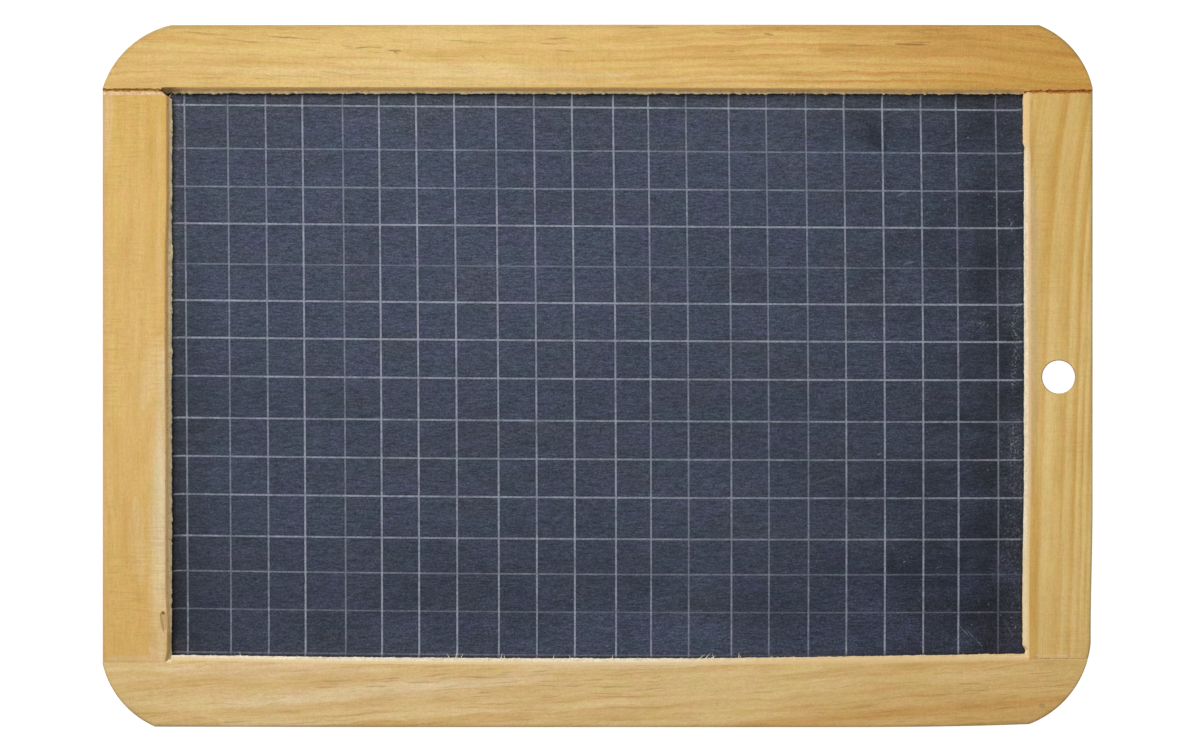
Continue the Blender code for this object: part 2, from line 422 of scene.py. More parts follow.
def pine(
    name,
    along,
    seed,
    tones,
    late,
    rings,
    dashes=0.5,
    cross=0.0,
    marks=(),
    pale=(),
    knot=None,
    painted_dent=None,
    fine=1.0,
    calm=1.0,
    gritty=(0.0, 1.0, 0.75, 0.75),
):
    """Sawn and sanded pine. along is 0 where the grain runs along X and 1 where it runs
    along Y. tones are (place along the grain in mm, colour) stops and late is the colour of
    the dense part of each year ring. rings says how the year rings cross the piece."""
    k = Look(name)
    x, y, z = k.mm()
    g, a = (x, y) if along == 0 else (y, x)
    # base tone along the length, made uneven
    drift = k.noise(g, a, z, 0.012, 0.07, 0.07, 3, 0.55, seed)
    at = k.add(g, k.mul(k.math("SUBTRACT", drift, 0.5), 80.0))
    lo, hi = tones[0][0], tones[-1][0]
    colour = k.ramp(
        k.span(at, lo, hi, soft=False),
        [((p - lo) / (hi - lo), c) for p, c in tones],
        "EASE",
    )
    for p, q, w, tint, amount in pale:
        hazy = k.mul(k.math("SUBTRACT", k.noise(g, a, z, 0.05, 0.3, 0.3, 2, 0.5, seed + 12), 0.5), 1.6)
        colour = k.mix(k.mul(stroke(k, x, y, p, q, w, hazy, 0.0), amount), colour, tint)
    # the way across the rings: leaning, wandering and rippling along the length
    wander = k.math("SUBTRACT", k.noise(g, a, z, 0.011, 0.025, 0.03, 2, 0.5, seed + 2), 0.5)
    ripple = k.math("SUBTRACT", k.noise(g, a, z, 0.05, 0.22, 0.2, 3, 0.6, seed + 3), 0.5)
    across = k.add(
        k.add(k.math("MULTIPLY_ADD", g, rings["slope"], a), k.mul(z, rings["tilt"])),
        k.add(k.mul(wander, rings["bend"]), k.mul(ripple, rings["ripple"])),
    )
    wave = k.math("SUBTRACT", k.noise(g, a, z, 0.13, 0.1, 0.1, 1, 0.5, seed + 21), 0.5)
    across = k.add(across, k.mul(wave, rings.get("wave", 0.0)))
    if "jag" in rings:
        jag = k.math("SUBTRACT", k.noise(g, a, z, 0.9, 0.35, 0.2, 2, 0.6, seed + 22), 0.5)
        across = k.add(across, k.mul(jag, rings["jag"]))
    for start, end, amount in rings.get("shift", ()):
        across = k.add(across, k.span(g, start, end, 0.0, amount))
    if "swerve" in rings:
        start, rate = rings["swerve"]
        past = k.math("MAXIMUM", k.math("SUBTRACT", g, start), 0.0)
        across = k.add(across, k.mul(k.mul(past, past), rate))
    if "lines" in rings:
        lines = rings["lines"]
        lo, hi = lines[0][0] - 3.0, lines[-1][0] + 3.0
        stops = [(0.0, 0.0)]
        for at_mm, strong, before, after in lines:
            stops += [
                ((at_mm - before - lo) / (hi - lo), 0.0),
                ((at_mm - lo) / (hi - lo), strong),
                ((at_mm + after - lo) / (hi - lo), 0.0),
            ]
        band = k.grey(k.span(across, lo, hi, soft=False), stops, "EASE")
    else:
        uneven = k.mul(k.noise(g, across, z, 0.004, 0.09, 0.05, 2, 0.5, seed + 13), rings["uneven"])
        turn = k.math("FRACT", k.math("MULTIPLY_ADD", across, 1.0 / rings["mm"], uneven))
        band = k.grey(
            turn, rings.get("form", [(0.0, 0.1), (0.1, 0.0), (0.5, 0.12), (0.8, 0.7), (0.9, 1.0), (1.0, 0.1)]), "EASE"
        )
    patchy = k.span(k.noise(g, across, z, 0.018, 0.16, 0.1, 2, 0.5, seed + 4), 0.32, 0.64, rings["least"], 1.0)
    if "more" in rings:
        patchy = k.mul(patchy, k.span(g, rings["more"][0], rings["more"][1], rings["more"][2], 1.0))
    colour = k.mix(k.mul(k.mul(band, patchy), rings["show"]), colour, late)
    # wood colour between the rings, in long soft streaks
    soft = k.noise(g, across, z, 0.022, 0.5, 0.5, 3, 0.6, seed + 14)
    colour = k.mix(calm, colour, k.ramp(soft, [(0.3, (0.93, 0.86, 0.73)), (0.5, (1, 1, 1)), (0.7, (1.05, 1.08, 1.15))]), "MULTIPLY")
    # fibres: mostly smooth, now and then a thin dark line
    streak = k.noise(g, across, z, 0.08, 1.8, 1.8, 3, 0.62, seed + 5, 0.2)
    colour = k.mix(fine, colour, k.ramp(streak, [(0.28, (0.72, 0.60, 0.44)), (0.42, (0.96, 0.94, 0.89)), (0.5, (1, 1, 1)), (0.70, (1.05, 1.07, 1.10))]), "MULTIPLY")
    hair = k.noise(g, across, z, 0.5, 3.0, 3.0, 2, 0.6, seed + 6)
    colour = k.mix(fine, colour, k.ramp(hair, [(0.30, (0.90, 0.86, 0.79)), (0.5, (1, 1, 1)), (0.70, (1.06, 1.07, 1.10))]), "MULTIPLY")
    mottle = k.noise(g, a, z, 1.4, 1.7, 1.7, 2, 0.6, seed + 17)
    colour = k.mix(1.0, colour, k.grey(mottle, [(0.30, 0.94), (0.5, 1.0), (0.70, 1.05)]), "MULTIPLY")
    grit = k.noise(g, a, z, 3.2, 3.6, 3.6, 1, 0.6, seed + 19)
    colour = k.mix(k.span(g, *gritty), colour, k.grey(grit, [(0.30, 0.88), (0.5, 1.0), (0.70, 1.12)]), "MULTIPLY")
    # patches a little pinker or greener
    tint = k.noise(g, a, z, 0.22, 0.36, 0.3, 3, 0.6, seed + 20)
    colour = k.mix(1.0, colour, k.ramp(tint, [(0.32, (1.03, 0.98, 1.04)), (0.5, (1, 1, 1)), (0.68, (0.975, 1.005, 0.92))]), "MULTIPLY")
    blot = k.noise(g, a, z, 0.07, 0.2, 0.2, 3, 0.6, seed + 7)
    colour = k.mix(1.0, colour, k.ramp(blot, [(0.3, (0.95, 0.92, 0.88)), (0.52, (1, 1, 1)), (0.72, (1.03, 1.03, 1.03))]), "MULTIPLY")
    # resin canals: short thin dark dashes, in loose groups
    dash = k.noise(g, across, z, 0.11, 2.3, 2.3, 1, 0.4, seed + 8, 0.15)
    group = k.span(k.noise(g, a, z, 0.018, 0.12, 0.1, 1, 0.5, seed + 9), 0.44, 0.66, 0.12, 1.0)
    colour = k.mix(k.mul(k.mul(k.span(dash, 0.63, 0.73), group), dashes), colour, lin(138, 96, 44))
    frayed = k.mul(k.math("SUBTRACT", k.noise(g, a, z, 0.5, 2.5, 2.5, 2, 0.6, seed + 15), 0.5), 0.5)
    for p, q, w, amount in marks:
        colour = k.mix(k.mul(stroke(k, x, y, p, q, w, frayed), amount), colour, lin(126, 84, 38))
    height = k.add(k.mul(streak, 0.5), k.mul(hair, 0.5))
    if cross:
        # faint sanding marks across the grain
        sand = k.noise(g, a, z, 2.1, 0.16, 0.2, 2, 0.6, seed + 10)
        here = k.span(k.noise(g, a, z, 0.04, 0.1, 0.1, 1, 0.5, seed + 11), 0.4, 0.65, 0.15, 1.0)
        colour = k.mix(k.mul(here, cross), colour, k.mix(1.0, colour, k.grey(sand, [(0.36, 0.88), (0.5, 1.0), (0.64, 1.06)]), "MULTIPLY"))
        height = k.add(height, k.mul(sand, 0.3))
    if knot:
        (kx, ky), (rx, ry) = knot
        ex = k.mul(k.math("SUBTRACT", x, kx), 1.0 / rx)
        ey = k.mul(k.math("SUBTRACT", y, ky), 1.0 / ry)
        d = k.math("SQRT", k.add(k.mul(ex, ex), k.mul(ey, ey)))
        d = k.add(d, k.mul(k.math("SUBTRACT", k.noise(x, y, z, 1.6, 0.9, 1.0, 3, 0.65, seed + 16), 0.5), 0.5))
        colour = k.mix(k.span(d, 0.6, 1.05, 0.6, 0.0), colour, lin(186, 148, 92))
        for p, q, w, tint, amount in (
            ((-0.95, 0.62), (-0.25, -0.95), 0.55, lin(158, 130, 76), 0.65),
            ((-0.72, 0.80), (0.10, 0.66), 0.62, lin(124, 84, 40), 0.9),
            ((-0.60, 0.84), (-0.95, 0.40), 0.36, lin(146, 110, 58), 0.6),
        ):
            at_p, at_q = (kx + rx * p[0], ky + ry * p[1]), (kx + rx * q[0], ky + ry * q[1])
            colour = k.mix(k.mul(stroke(k, x, y, at_p, at_q, w, frayed), amount), colour, tint)
    # a dent in colour only: a soft bruise, with painted shadow as a darker crescent on its upper left side
    if painted_dent:
        (kx, ky), rr = painted_dent
        for ox, oy, size, tint, amount in (
            (-0.10, 0.10, 1.0, lin(136, 116, 76), 0.45),
            (0.10, -0.12, 0.8, lin(188, 154, 106), 0.8),
        ):
            ex, ey = k.math("SUBTRACT", x, kx + ox), k.mul(k.math("SUBTRACT", y, ky + oy), 1.5)
            d = k.add(k.math("SQRT", k.add(k.mul(ex, ex), k.mul(ey, ey))), k.mul(frayed, 0.4))
            colour = k.mix(k.mul(k.span(d, size * rr - 0.4, size * rr + 0.1, 1.0, 0.0), amount), colour, tint)
    # darkened outer edges: handling wear, with painted shade that dims the highlight on the rounding at the upper left
    worn = k.t.nodes.new("ShaderNodeAttribute")
    worn.attribute_name = "edge"
    colour = k.mix(k.mul(worn.outputs["Fac"], 0.42), colour, lin(124, 108, 72))
    k.bump(height, 0.4, 0.0001)
    return k.done(colour, k.span(streak, 0.25, 0.75, 0.62, 0.5), 0.25)


def torn(name, along, seed, dark, light, arris=None, specks=0.3, arris_at=4.0, zones=()):
    """Sawn but unsanded wood on the bevels and in the groove: paler and fuzzy."""
    k = Look(name)
    x, y, z = k.mm()
    g, a = (x, y) if along == 0 else (y, x)
    blotch = k.noise(g, a, z, 0.55, 1.1, 1.1, 3, 0.65, seed)
    fuzz = k.noise(g, a, z, 2.6, 1.4, 1.4, 2, 0.65, seed + 1)
    long = k.noise(g, a, z, 0.07, 1.6, 1.6, 2, 0.5, seed + 2)
    v = k.add(k.add(k.mul(blotch, 0.4), k.mul(fuzz, 0.35)), k.mul(long, 0.25))
    colour = k.ramp(v, [(0.36, dark), (0.64, light)])
    if arris:
        h = k.math("ABSOLUTE", k.math("SUBTRACT", z, MID))
        edge = k.add(h, k.mul(k.math("SUBTRACT", blotch, 0.5), 0.5))
        colour = k.mix(k.mul(k.span(edge, arris_at, arris_at + 0.5), 0.85), colour, arris)
    for start, end, tint, amount in zones:
        here = k.span(k.add(g, k.mul(k.math("SUBTRACT", blotch, 0.5), 2.0)), start, end, 0.0, amount)
        colour = k.mix(here, colour, tint)
    speck = k.noise(g, a, z, 1.5, 2.0, 2.0, 2, 0.5, seed + 3)
    colour = k.mix(k.mul(k.span(speck, 0.64, 0.72), specks), colour, lin(84, 60, 36))
    k.bump(k.add(fuzz, blotch), 0.8, 0.00015)
    return k.done(colour, k.span(fuzz, 0.2, 0.8, 0.9, 0.75), 0.12)


def grime(name, seed, dark, middle, light):
    """Wood and old glue down in a corner joint."""
    k = Look(name)
    x, y, z = k.mm()
    n = k.noise(x, y, z, 1.3, 1.8, 1.8, 3, 0.65, seed)
    colour = k.ramp(n, [(0.32, dark), (0.5, middle), (0.68, light)])
    k.bump(n, 0.8, 0.0002)
    return k.done(colour, k.span(n, 0.3, 0.7, 0.85, 0.7), 0.1)


woods = {
    "top_rail": dict(
        along=0, seed=3.0,
        tones=[(-128, lin(212, 178, 110)), (-60, lin(223, 190, 121)), (45, lin(225, 187, 112)), (128, lin(207, 160, 78))],
        late=lin(204, 146, 64),
        rings=dict(
            slope=0.004, tilt=0.5, bend=1.6, ripple=1.2, wave=0.9, jag=0.55, least=0.35, show=0.9, more=(-25.0, 55.0, 0.18),
            shift=[(2.0, 42.0, -1.6), (92.0, 128.0, 2.6), (-110.0, -30.0, 1.6)],
            lines=[
                (79.2, 0.5, 0.9, 0.5), (81.3, 0.85, 0.9, 0.5), (83.5, 0.78, 1.2, 0.5), (85.6, 0.35, 0.8, 0.4),
                (88.0, 0.75, 1.4, 0.5), (90.7, 0.8, 1.5, 0.6), (92.8, 0.5, 1.0, 0.5), (94.8, 0.6, 1.2, 0.5),
            ],
        ),
        dashes=0.4, fine=0.5, cross=0.35, gritty=(20.0, 110.0, 0.6, 1.0),
        pale=[
            ((-100.0, 79.0), (8.0, 77.8), 4.6, lin(228, 201, 146), 0.6),
            ((0.0, 76.6), (70.0, 77.2), 2.6, lin(230, 197, 132), 0.5),
            ((36.0, 92.0), (118.0, 88.0), 5.4, lin(198, 150, 74), 0.65),
            ((58.0, 84.6), (124.0, 83.4), 5.0, lin(200, 152, 76), 0.55),
            ((-118.0, 88.0), (-66.0, 90.4), 2.6, lin(212, 174, 102), 0.5),
            ((-129.5, 74.5), (-110.0, 74.5), 0.7, lin(196, 142, 72), 0.25),
            ((111.0, 74.5), (129.5, 74.5), 0.8, lin(192, 136, 76), 0.3),
        ],
        marks=[
            ((-98.0, 87.4), (-88.0, 86.2), 0.30, 0.3), ((-108.0, 89.2), (-96.0, 88.2), 0.25, 0.3),
            ((-86.0, 88.0), (-72.0, 87.0), 0.25, 0.28), ((-40.0, 87.0), (-28.0, 86.2), 0.3, 0.3),
            ((-62.6, 84.9), (-59.0, 85.1), 0.34, 0.4), ((-59.2, 85.2), (-55.7, 84.9), 0.28, 0.36),
            ((-54.6, 84.3), (-50.4, 84.1), 0.38, 0.55), ((-52.8, 83.9), (-51.7, 83.4), 0.30, 0.45),
            ((-66.2, 85.4), (-63.2, 85.1), 0.26, 0.3), ((-13.6, 87.2), (-7.4, 87.5), 0.34, 0.42),
            ((-15.0, 86.0), (-10.5, 85.9), 0.26, 0.4), ((-11.0, 84.4), (-6.0, 84.0), 0.34, 0.3),
            ((-30.0, 83.0), (-29.0, 82.0), 0.3, 0.35), ((43.0, 88.6), (45.5, 88.3), 0.34, 0.5),
            ((64.0, 85.6), (72.0, 85.5), 0.34, 0.35), ((77.0, 85.9), (85.6, 85.7), 0.44, 0.6),
            ((81.0, 86.4), (86.0, 86.3), 0.25, 0.4), ((-24.0, 83.4), (-19.0, 83.2), 0.26, 0.26),
            ((10.0, 90.2), (16.0, 90.1), 0.3, 0.4), ((30.0, 88.9), (33.5, 88.8), 0.26, 0.35),
        ],
    ),
    "bottom_rail": dict(
        along=0, seed=11.0,
        tones=[(-128, lin(216, 186, 130)), (-30, lin(222, 192, 136)), (50, lin(222, 191, 130)), (128, lin(220, 186, 121))],
        late=lin(205, 164, 96),
        rings=dict(
            mm=8.2, slope=-0.07, tilt=0.6, bend=5.0, ripple=2.2, wave=0.8, uneven=1.4, least=0.3, show=0.62,
            form=[(0.0, 0.05), (0.12, 0.0), (0.35, 0.5), (0.62, 0.75), (0.8, 1.0), (0.88, 0.3), (1.0, 0.05)],
        ),
        dashes=0.45, fine=0.62, cross=0.25,
        pale=[
            ((20.0, -92.6), (132.0, -83.0), 4.6, lin(203, 154, 84), 0.8),
            ((78.0, -93.0), (130.0, -87.5), 5.5, lin(203, 154, 84), 0.5),
            ((-126.0, -86.0), (-98.0, -90.5), 4.0, lin(206, 170, 104), 0.6),
            ((-96.0, -85.0), (-12.0, -77.5), 4.4, lin(226, 201, 158), 0.75),
            ((-114.0, -76.2), (-54.0, -76.2), 3.4, lin(230, 206, 166), 0.8),
            ((-20.0, -75.6), (28.0, -75.0), 2.2, lin(228, 204, 160), 0.65),
            ((40.0, -80.4), (106.0, -77.2), 4.2, lin(224, 192, 134), 0.6),
            ((112.0, -75.6), (132.0, -75.0), 2.4, lin(204, 164, 96), 0.6),
        ],
        painted_dent=((115.26, -85.5), 0.95),
    ),
    "left_stile": dict(
        along=1, seed=23.0,
        tones=[(-92, lin(210, 170, 95)), (0, lin(216, 178, 109)), (92, lin(207, 168, 87))],
        late=lin(211, 166, 92),
        rings=dict(mm=6.5, slope=0.01, tilt=0.4, bend=5.0, ripple=1.2, uneven=1.5, least=0.15, show=0.2),
        dashes=0.05, cross=0.8, fine=0.3, calm=0.5, gritty=(0.0, 1.0, 0.5, 0.5),
        pale=[
            ((-126.8, 90.0), (-127.4, 53.0), 2.9, lin(225, 193, 143), 0.6),
            ((-127.6, 64.0), (-127.3, -74.0), 1.3, lin(222, 183, 126), 0.5),
            ((-113.6, 70.0), (-113.4, 12.0), 0.9, lin(221, 186, 130), 0.45),
            ((-124.6, 66.0), (-125.2, -44.0), 1.3, lin(212, 184, 98), 0.4),
            ((-113.0, 10.0), (-117.6, -8.0), 5.0, lin(222, 193, 138), 0.6),
            ((-119.6, -32.0), (-118.4, -54.0), 3.6, lin(219, 190, 134), 0.5),
            ((-112.6, 6.0), (-112.8, -76.0), 5.0, lin(222, 197, 150), 0.8),
            ((-113.2, -14.0), (-113.6, -60.0), 3.2, lin(219, 201, 160), 0.75),
            ((-114.2, -46.0), (-114.0, -84.0), 3.4, lin(222, 193, 140), 0.6),
            ((-128.4, -73.2), (-110.0, -73.4), 1.5, lin(214, 184, 138), 0.6),
            ((-116.0, -70.8), (-110.6, -72.6), 3.0, lin(222, 192, 146), 0.6),
        ],
        knot=((-112.15, -63.5), (1.1, 2.9)),
    ),
    "right_stile": dict(
        along=1, seed=37.0,
        tones=[(-92, lin(219, 185, 116)), (0, lin(231, 200, 130)), (92, lin(219, 184, 110))],
        late=lin(206, 156, 68),
        rings=dict(
            slope=-0.032, tilt=0.35, bend=1.0, ripple=0.6, wave=0.25, least=0.55, show=0.9,
            swerve=(20.0, -0.00145),
            lines=[
                (111.7, 0.45, 1.5, 1.1), (118.75, 0.8, 4.4, 1.1), (124.4, 0.8, 3.6, 1.1),
                (127.65, 0.8, 1.9, 0.7), (129.6, 0.66, 1.0, 0.6), (131.3, 0.6, 0.9, 0.6), (133.0, 0.55, 0.8, 0.6),
            ],
        ),
        pale=[
            ((112.4, 71.0), (112.3, 36.0), 1.6, lin(205, 168, 104), 0.7),
            ((113.0, 52.0), (112.8, -34.0), 2.4, lin(208, 181, 130), 0.9),
            ((112.0, -24.0), (111.8, -76.0), 1.4, lin(206, 168, 98), 0.4),
            ((112.5, 73.4), (129.0, 73.4), 0.6, lin(196, 136, 72), 0.5),
            ((113.6, -72.5), (121.5, -72.4), 0.9, lin(236, 208, 166), 0.7),
            ((112.2, -72.8), (114.6, -72.9), 0.7, lin(202, 146, 86), 0.6),
        ],
        dashes=0.08, cross=0.45, fine=0.35, calm=0.7, gritty=(0.0, 1.0, 0.55, 0.55),
    ),
}
bevels = {
    "top_rail": dict(
        along=0, seed=51.0, dark=lin(216, 180, 120), light=lin(255, 236, 190), arris=lin(206, 160, 94), arris_at=3.6, specks=0.6,
        # the second zone darkens the bevel towards the upper left joint: dirt, with painted shade where that corner
        # lies in shadow
        zones=[(-60.0, -92.0, lin(196, 160, 108), 0.25), (-106.2, -110.8, lin(104, 76, 48), 0.75), (10.0, 84.0, lin(244, 196, 124), 0.35)],
    ),
    "bottom_rail": dict(
        along=0, seed=57.0, dark=lin(206, 182, 142), light=lin(248, 238, 216), arris=lin(220, 192, 142),
        arris_at=4.1, specks=0.1, zones=[(6.0, 62.0, lin(218, 180, 112), 0.62)],
    ),
    "left_stile": dict(
        along=1, seed=63.0, dark=lin(226, 194, 136), light=lin(255, 244, 202), arris=lin(206, 152, 86),
        arris_at=3.8, specks=0.7, zones=[(12.0, -20.0, lin(224, 192, 142), 0.45), (-65.8, -67.2, lin(160, 138, 84), 0.45)],
    ),
    "right_stile": dict(
        along=1, seed=69.0, dark=lin(204, 184, 146), light=lin(246, 234, 208), arris=lin(220, 178, 124),
        arris_at=4.05, specks=0.1,
        zones=[(44.0, 58.0, lin(222, 190, 130), 0.3), (58.6, 61.6, lin(224, 188, 124), 0.75), (-34.0, -52.0, lin(226, 200, 138), 0.5)],
    ),
}
looks = {}
for piece, w in woods.items():
    looks[piece] = pine("pine_" + piece, **w)
    looks[piece + "_raw"] = torn("pine_torn_" + piece, **bevels[piece])
looks["fringe"] = torn("pine_fringe", 1, 75.0, lin(198, 158, 108), lin(238, 208, 166), specks=0.2)
looks["fibre"] = torn("pine_fibre", 0, 77.0, lin(236, 216, 184), lin(255, 246, 228), specks=0.0)
# the bore's wall is darker than the bevel wood: painted shade inside the hole
looks["bore"] = torn("pine_bore", 1, 81.0, lin(166, 132, 86), lin(212, 178, 126), specks=0.2)
looks["tl"] = grime("joint_top_left", 5.0, lin(138, 92, 38), lin(172, 124, 60), lin(206, 158, 94))
looks["tr"] = grime("joint_top_right", 6.0, lin(150, 90, 38), lin(180, 114, 54), lin(210, 152, 86))
looks["bl"] = grime("joint_bottom_left", 7.0, lin(216, 180, 132), lin(226, 192, 144), lin(236, 206, 158))
looks["br"] = grime("joint_bottom_right", 8.0, lin(220, 184, 136), lin(230, 196, 150), lin(240, 210, 168))


# ------------------------------------------------------------------ wood members
ROUND = 0.45
ROUND_AT = np.radians([25, 50, 75, 90])
ROUND_DARK = (0.62, 0.8, 0.82, 0.7)
FLOOR_TOP, FLOOR_BOTTOM = 76.76, -76.4  # where the rails' grooves end
CRISP = ((-0.10, 0.14), (0.14, 0.012))  # the corner between bevel and face
SOFT = ((-0.30, 0.34), (0.10, 0.13), (0.50, 0.02))


def profile_front(u_out, columns, rag, bevel, arris=CRISP, gate=None):
    """(u, z, edge darkening) rows of the front half of a member's section, from the groove's ceiling
    out to the middle of the outer side, for every station. The edge darkening is wear and painted shade. u_out is the
    width at each station, rag how far the torn lip is moved there and bevel how wide the bevel is. Points
    past the width slide back to it. gate is a column that keeps its place."""
    n = len(u_out)
    r = np.minimum(ROUND, 0.3 * u_out)
    edge = u_out - r
    bevel = np.broadcast_to(bevel, n).astype(float)

    def height(u):
        return np.minimum(T, T - bevel + np.maximum(u, 0))

    rows = []

    def put(u, z, worn=0.0):
        rows.append((np.broadcast_to(u, n).astype(float).copy(), np.broadcast_to(z, n).astype(float).copy(), worn))

    put(rag * 0.5, Z_GT)
    put(rag * 1.15, Z_GT + 0.42)
    put(rag, T - bevel + 0.02)
    for t in (0.3, 0.62):
        u = np.minimum(bevel * t + rag * (1 - t) ** 2, edge)
        put(u, height(np.minimum(bevel * t, edge)))
    tight = np.clip(bevel / CHAMFER, 0.05, 1.0)
    for shift, drop in arris:
        u = np.minimum(bevel + shift * tight, edge)
        put(u, np.minimum(T - drop * tight, height(u)))
    start = bevel + (arris[-1][0] + 0.16) * tight
    if gate is not None:
        put(start, T)
        put((start + gate) / 2, T)
        start = np.broadcast_to(gate, n)
    for c in columns[:-1]:
        u = np.minimum(start + np.maximum(edge - 1.0 - start, 0) * c, edge)
        put(u, height(u))
    for back, worn in ((1.0, 0.0), (0.5, 0.16), (0.0, 0.46)):
        u = np.maximum(np.minimum(start, edge), edge - back)
        put(u, height(u), worn)
    top = height(edge)
    for a, worn in zip(ROUND_AT, ROUND_DARK):
        put(edge + r * math.sin(a), top - r * (1 - math.cos(a)), worn)
    put(u_out, np.minimum(8.1, top - r), 0.32)
    put(u_out, Z_GT)
    return rows


def rag_of(s, seed, size, chips=0.0, rough=1.0):
    """How far a torn inner edge stands in (negative: over the slate) at each place."""
    r = size * (0.45 * layered(s, seed, 3.4, 3, 0.7) + rough * layered(s, seed + 1, 0.75, 2, 0.8))
    bite = np.clip(layered(s, seed + 2, 6.0, 2, 0.6) - 0.35, 0, 1)
    return r + chips * bite


def stations(lo, hi, step, extra=()):
    n = int(round((hi - lo) / step))
    s = np.linspace(lo, hi, n + 1)
    s = np.unique(np.round(np.concatenate([s, np.asarray(extra, float)]), 5))
    keep = [s[0]]
    fixed = {round(float(e), 5) for e in extra}
    for v in s[1:]:
        if v - keep[-1] < 0.04 and round(float(v), 5) not in fixed:
            continue
        if v - keep[-1] < 0.04 and round(float(keep[-1]), 5) not in fixed:
            keep[-1] = v
            continue
        keep.append(v)
    return np.array(keep)


def sliver(m, base, way, length, width, bend, mat):
    """One loose wood fibre: a thin curved spike, closed all round."""
    way = np.array(way, float) / np.linalg.norm(way)
    side = np.cross(way, (0, 0, 1.0))
    side /= np.linalg.norm(side)
    up = np.cross(side, way)
    rows = []
    for t in (0.0, 0.25, 0.5, 0.75, 1.0):
        c = np.array(base) + way * length * t + side * bend * t * t
        w = width * (1 - 0.85 * t)
        rows.append(m.points([c + side * w, c + up * w * 0.7, c - side * w, c - up * w * 0.7]))
    for a, b in zip(rows, rows[1:]):
        for i in range(4):
            j = (i + 1) % 4
            m.face((a[i], a[j], b[j], b[i]), mat)
    m.face(rows[0][::-1], mat)
    m.face(rows[-1], mat)


# loose fibres on the inner edges: place along the edge, length, lean, for the lower rail
LOWER_HAIRS = [
    (-92.4, 0.9, -0.4), (-38.2, 1.5, -0.5), (-36.8, 1.9, 0.15), (-35.6, 1.2, 0.7), (-25.2, 1.1, 0.5),
    (-24.0, 0.9, -0.2), (-11.5, 0.9, 0.2), (-6.8, 0.8, -0.5), (3.7, 0.9, 0.3), (26.1, 1.7, 1.1),
    (27.6, 1.9, 1.0), (29.0, 1.4, 1.3), (30.2, 1.2, -0.3), (36.6, 1.3, 0.0), (37.4, 0.8, -0.6),
]


# corner joints: the rail's square edge there and how wide its broken corner is, the stile's
# end, and how far that end's front corner is worn back and down
JOINT = {
    "tl": dict(butt=74.02, chip=0.36, end=73.98, back=0.34, down=0.42),
    "tr": dict(butt=73.66, chip=0.42, end=73.62, back=0.50, down=0.40),
    "bl": dict(butt=-74.08, chip=0.03, end=-74.07, back=0.06, down=0.08),
    "br": dict(butt=-73.26, chip=0.04, end=-73.25, back=0.13, down=0.16),
}
OPEN_L, OPEN_R = -110.30, 110.40  # the opening between the stiles
STEP = 0.06
CUT_END = -112.9  # where the break in the upper left corner begins


def cut_line(x):
    """Y of the break across the left stile's upper inner corner."""
    return 72.10 + 0.86 * (-110.85 - x)


def tightness(key, x):
    """How far a joint gapes along its length, 1 for its usual width."""
    gape = 1 + 0.5 * layered(x, 501 + ord(key[0]) + ord(key[1]), 0.9, 3, 0.75)
    if key == "tr":
        gape = gape * (1 - 0.85 * np.exp(-(((x - 115.7) / 0.5) ** 2))) * smooth(111.4, 112.6, x)
    return np.maximum(gape, 0.1)


def edge_dark_at(x, y):
    """How dark the outer edge is painted: handling wear, most at the rounded corners, and painted shade at the upper
    left that dims the highlight on the rounding.
    """
    far_r, far_t = smooth(-60, 110, x), smooth(-80, 85, y)
    flat = 0.55 + 0.75 * far_t * (1 - 0.45 * far_r) + 0.35 * (1 - far_r) * (1 - far_t)
    corner = smooth(98, 112, abs(x)) * smooth(66, 82, abs(y))
    return np.clip(flat + 0.55 * corner, 0, 1.6)


